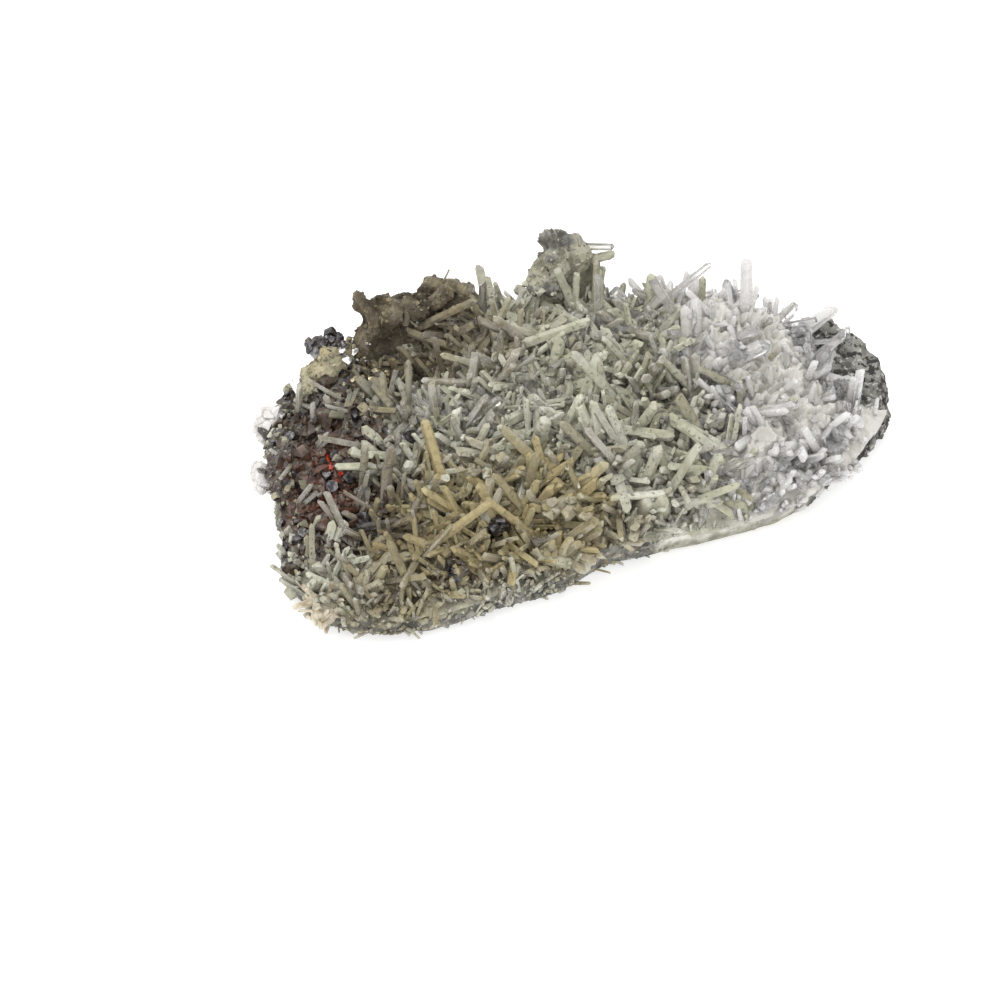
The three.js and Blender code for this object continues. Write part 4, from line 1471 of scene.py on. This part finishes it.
ORE_LAYERS = [
    # name, shapes, body, mask, spacing, width, seed, lean, sink
    ("sphalerite_lumps", chunks, sphalerite, "sphalerite_mask", 4.4, 4.6, 31, 1.0, -0.4),
    ("sphalerite_grains", chunks, sphalerite, "sphalerite_mask", 2.3, 2.4, 32, 1.0, 0.0),
    ("sphalerite_grit", chunks, sphalerite, "sphalerite_mask", 1.3, 1.2, 38, 1.0, 0.0),
    ("ruby_grains", chunks, ruby_sphalerite, "ruby_mask", 1.3, 1.7, 33, 1.0, -0.4),
    ("galena_grains", cubes, galena, "galena_mask", 2.6, 2.2, 34, 1.0, -0.4),
    ("pyrite_grains", cubes, pyrite, "pyrite_mask", 1.8, 1.3, 35, 1.0, -0.6),
    ("ore_quartz", sheaves, milky_quartz, "quartz_mask", 5.5, 2.2, 36, 3.0, -0.4),
    ("ore_quartz_small", singles, milky_quartz, "quartz_mask", 3.4, 1.5, 37, 2.0, 0.0),
]
crust_mesh = rough_skin("sphalerite_crust", "sphalerite_ground", 0.6, (6, 2.4), (1.2, 1.2))
paint_ores(crust_mesh)
for *row, lean, sink in ORE_LAYERS:
    grow_piece(crust_mesh, *row, lean=lean, sink=sink, spray=0.8, spread=0.4, lowest=-0.1)
keep_outer_skin(crust_mesh)
piece("sphalerite_ground", crust_mesh, ["sphalerite_crust"], [sphalerite])

# %% [markdown]
# ## Galena cubes
# Galena breaks and grows in cubes, and a lone cube in a druse is mostly a stepped group of
# smaller ones with bright faces. Each group fills the place of one cube in the frame.

# %% Stepped cubes
def cube_group(middle, size, seed):
    """A large cube in the middle and eight smaller ones round it."""
    rng = np.random.default_rng(seed)
    bm = bmesh.new()
    for k in range(9):
        one = cubic(seed * 20 + k, corner=0.1)
        reach = size * (0.62 if k == 0 else rng.uniform(0.3, 0.5))
        offset = Vector(rng.uniform(-0.36, 0.36, 3)) * size * (0 if k == 0 else 1)
        turn = Matrix.Rotation(rng.uniform(0, 0.5), 4, Vector(rng.normal(size=3)))
        place = Matrix.Translation(Vector(middle) + offset) @ turn @ Matrix.Scale(reach, 4)
        one.transform(Matrix.Scale(MM, 4) @ place)
        add_shape(bm, one)
    return to_mesh(bm, "cubes")


for k in range(1, 5):
    low, high = (np.array(corner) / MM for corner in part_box(f"galena_cube_{k}"))
    drop = 1.2 if k == 1 else 0.5
    mesh = cube_group((low + high) / 2 - (0, 0, drop), 0.8 * (high - low).mean(), 60 + k)
    paint_zones(mesh)
    piece(f"galena_group_{k}", mesh, [f"galena_cube_{k}"], [galena])

# %% [markdown]
# ## Small lumps
# The galena cap, the pyrite nest and the three calcite lumps each have a solid in the frame.
# Each gets a rough skin of its own, and its grains or blades grow on that skin.

# %% Lumps
LUMPS = [
    # node, skin material, slot, grain shapes, grain material, spacing, width, lean, lowest
    ("galena_cap", galena, "galena", cubes, galena, 1.5, 1.9, 1.0, -0.4),
    ("pyrite_nest", sphalerite, "pyrite", cubes, pyrite, 1.5, 1.5, 1.0, -0.4),
    ("calcite_back", calcite, "calcite", chunks, calcite, 1.5, 2.8, 1.0, -0.3),
    ("calcite_side", calcite, "calcite", chunks, calcite, 1.5, 2.8, 1.0, -0.3),
    ("calcite_corner", calcite, "calcite", blades, calcite, 1.8, 1.7, 1.6, 0.0),
]
for k, (node, skin, slot, shapes, body, spacing, width, lean, lowest) in enumerate(LUMPS):
    mesh = rough_skin(node, node + "_skin", 0.4, (3, 1.2), (0.8, 0.5))
    paint_zones(mesh)
    paint(mesh, lump=1, cream=node == "calcite_corner")
    grains = grown(
        mesh, node + "_grains", shapes, body, "lump", spacing, width, 80 + k,
        coat=body, sink=0.3, lean=lean, spray=0.5, spread=0.4, lowest=lowest,
    )
    piece(node + "_skin", mesh, [node], [skin])
    piece(node + "_grains", grains)

# %% [markdown]
# ## Rough ground
# The knobs, the rim and the broken side of the rock carry coarse grains of the same rock,
# some with clay on top. The left knob has a nest of bright galena and pyrite, and the corner
# below it a spray of cream calcite blades. One tree grows them all, each on its own mask.

# %% Clothe the rock
ROCK_LAYERS = [
    # name, shapes, body, mask, spacing, width, seed, lift, sink
    ("knob_chunks", chunks, vein_rock, "lobes", 2.8, 2.6, 41, 0.2, 0.3),
    ("knob_grains", chunks, vein_rock, "crust", 1.3, 1.3, 42, 0.2, 0.1),
    ("knob_galena", cubes, bright_galena, "nest", 1.4, 1.9, 49, 0.2, -0.2),
    ("knob_pyrite", cubes, pyrite, "nest", 1.6, 1.4, 50, 0.2, -0.5),
    ("rim_blocks", chunks, vein_rock, "rim_left", 3.2, 4.4, 47, 0.2, -0.3),
    ("rim_grains", chunks, vein_rock, "rim_left", 1.6, 2.4, 51, 0.2, -0.2),
    ("rim_small", sheaves, milky_quartz, "rim_front", 2.0, 2.2, 53, 0.6, 0.3),
    ("rim_sheaves", sheaves, milky_quartz, "rim_inner", 3.0, 2.1, 48, 0.4, 0.2),
    ("calcite_blades", blades, calcite, "corner_mask", 1.9, 1.9, 52, 0.2, 0.2),
    ("rim_lumps", chunks, vein_rock, "rim_right", 2.6, 2.8, 54, 0.2, 0.4),
    ("side_chunks", chunks, vein_rock, "side", 2.6, 2.8, 44, 0.2, 0.6),
    ("side_grains", chunks, vein_rock, "side", 1.2, 1.4, 46, 0.2, 0.1),
    ("side_quartz", singles, milky_quartz, "side_front", 2.0, 1.5, 45, 0.4, 0.3),
]
CLEAN_MASKS = ("nest", "corner_mask")
places = vertices_mm(rock_mesh)
x, y, z = places.T
at_tip = np.maximum(ramp(x, 46, 58), ramp(x, 36, 44) * (y < -14))
on_lobes = 0.6 * knob_value(places) * (x < LOBES_EDGE)
low_at_back = ramp(y, 0, 15) * (1 - ramp(z, 6, 18))
paint(
    rock_mesh, speckle=0.25 + 0.75 * np.maximum(at_tip, on_lobes),
    smoky=zone_value(places, "smoky") * (1 - low_at_back),
    ochre=zone_value(places, "ochre") * (1 - low_at_back),
)
for name, shapes, body, mask, *row, lift, sink in ROCK_LAYERS:
    coat = body if mask in CLEAN_MASKS else clay_coat
    lowest = 0.0 if body is milky_quartz else -0.3
    grow_piece(
        rock_mesh, name, shapes, body, mask, *row, coat=coat, lean=1.6, spray=0.5,
        lift=lift, sink=sink, spread=0.45, lowest=lowest,
    )

# %% [markdown]
# ## The rock's own colour
# Clay lies where the rock looks up and on the knobs, less on the dark lobes and not at all
# on the tip. The front rim is a smooth pale crust, and its lower band is painted grey as shade.

# %% Colour the rock
places = vertices_mm(rock_mesh)
x, y, z = places.T
knobs = knob_value(places) * ramp(z, 14, 24)
tall_knob, left_knob = knobs * (x > LOBES_EDGE), knobs * (x < LEFT_KNOB_EDGE)
dark_lobes = knobs * ramp(-x, 2, 7) * ramp(x, -46, -38)
grey_peak = ramp(z, 35, 38) * (x > LOBES_EDGE)
clay = np.maximum(rise_from(normals_of(rock_mesh)[:, 2], 0.3, 0.5), 0.75 * knobs)
clay = (clay + 0.25 * left_knob) * (1 - 0.5 * dark_lobes) * (1 - 0.55 * grey_peak)
# painted shade: low on the front rim the crust is painted darker grey, as shade below its pale top
paint(
    rock_mesh, clay=clay * (1 - in_zone(places, BARE_TIP)),
    tone=0.5 + 0.4 * tall_knob - 0.25 * dark_lobes - 0.4 * left_knob,
    pale=ramp(x, -2, 8) * ramp(-x, -46, -36) * ramp(-y, 20, 30), pale_top=ramp(z, 2.5, 4.5),
)
piece("vein_rock", rock_mesh, ["rock_matrix"], [vein_rock])

# %% [markdown]
# ## Floor, background and light
# The specimen stands on a plain pale floor against a white background. A broad light from
# behind and above gives the crystals their shading, and a wider, weaker one fills the front.

# %% Floor
HALF, WHITE = 3, (1, 1, 1, 1)
corners = [(-HALF, -HALF, 0), (HALF, -HALF, 0), (HALF, HALF, 0), (-HALF, HALF, 0)]
floor_mesh = bpy.data.meshes.new("floor")
floor_mesh.from_pydata(corners, [], [(0, 1, 2, 3)])
floor = add_object("floor", floor_mesh)
floor_mesh.materials.append(finish("floor white", {
    "Base Color": (0.6, 0.6, 0.6, 1), "Roughness": 0.2,
    "Emission Color": WHITE, "Emission Strength": 0.58,
}))
floor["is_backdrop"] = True
print("floor:", [round(side, 1) for side in floor.dimensions], "m")

# %% Background and lights
world = bpy.data.worlds.new("world")
world.use_nodes = True
background = world.node_tree.nodes["Background"]
background.inputs["Color"].default_value = WHITE
background.inputs["Strength"].default_value = 0.98
bpy.context.scene.world = world
bpy.context.scene.view_settings.view_transform = "Standard"
LIT_POINT = Vector((0, 0, 0.02))


def soft_light(name, place, size, power):
    light = bpy.data.lights.new(name, "AREA")
    light.size, light.energy = size, power
    lamp = add_object(name, light)
    lamp.location = place
    lamp.rotation_euler = (Vector(place) - LIT_POINT).to_track_quat("Z", "Y").to_euler()
    print(name, "light:", power, "W,", size, "m wide")


soft_light("key", (-0.25, 0.2, 0.85), 1.0, 5.0)
soft_light("fill", (-0.35, -0.8, 0.55), 0.9, 3)

# %% [markdown]
# ## Measure
# The pattern shapes are removed, and the finished specimen's box is printed beside that of the
# solid model; both boxes are kept in `corners`. The finished specimen must fill the same box
# as the solid model, give or take a tip or two.

# %% Measure
for shapes in (singles, sheaves, chunks, cubes, blades):
    for pattern in list(shapes.objects):
        bpy.data.objects.remove(pattern)
    bpy.data.collections.remove(shapes)
low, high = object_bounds()
corners = {"cad_low": cad_low, "cad_high": cad_high, "low": low, "high": high}
print("solid:", in_mm(cad_high - cad_low), "mm, built:", in_mm(high - low), "mm")
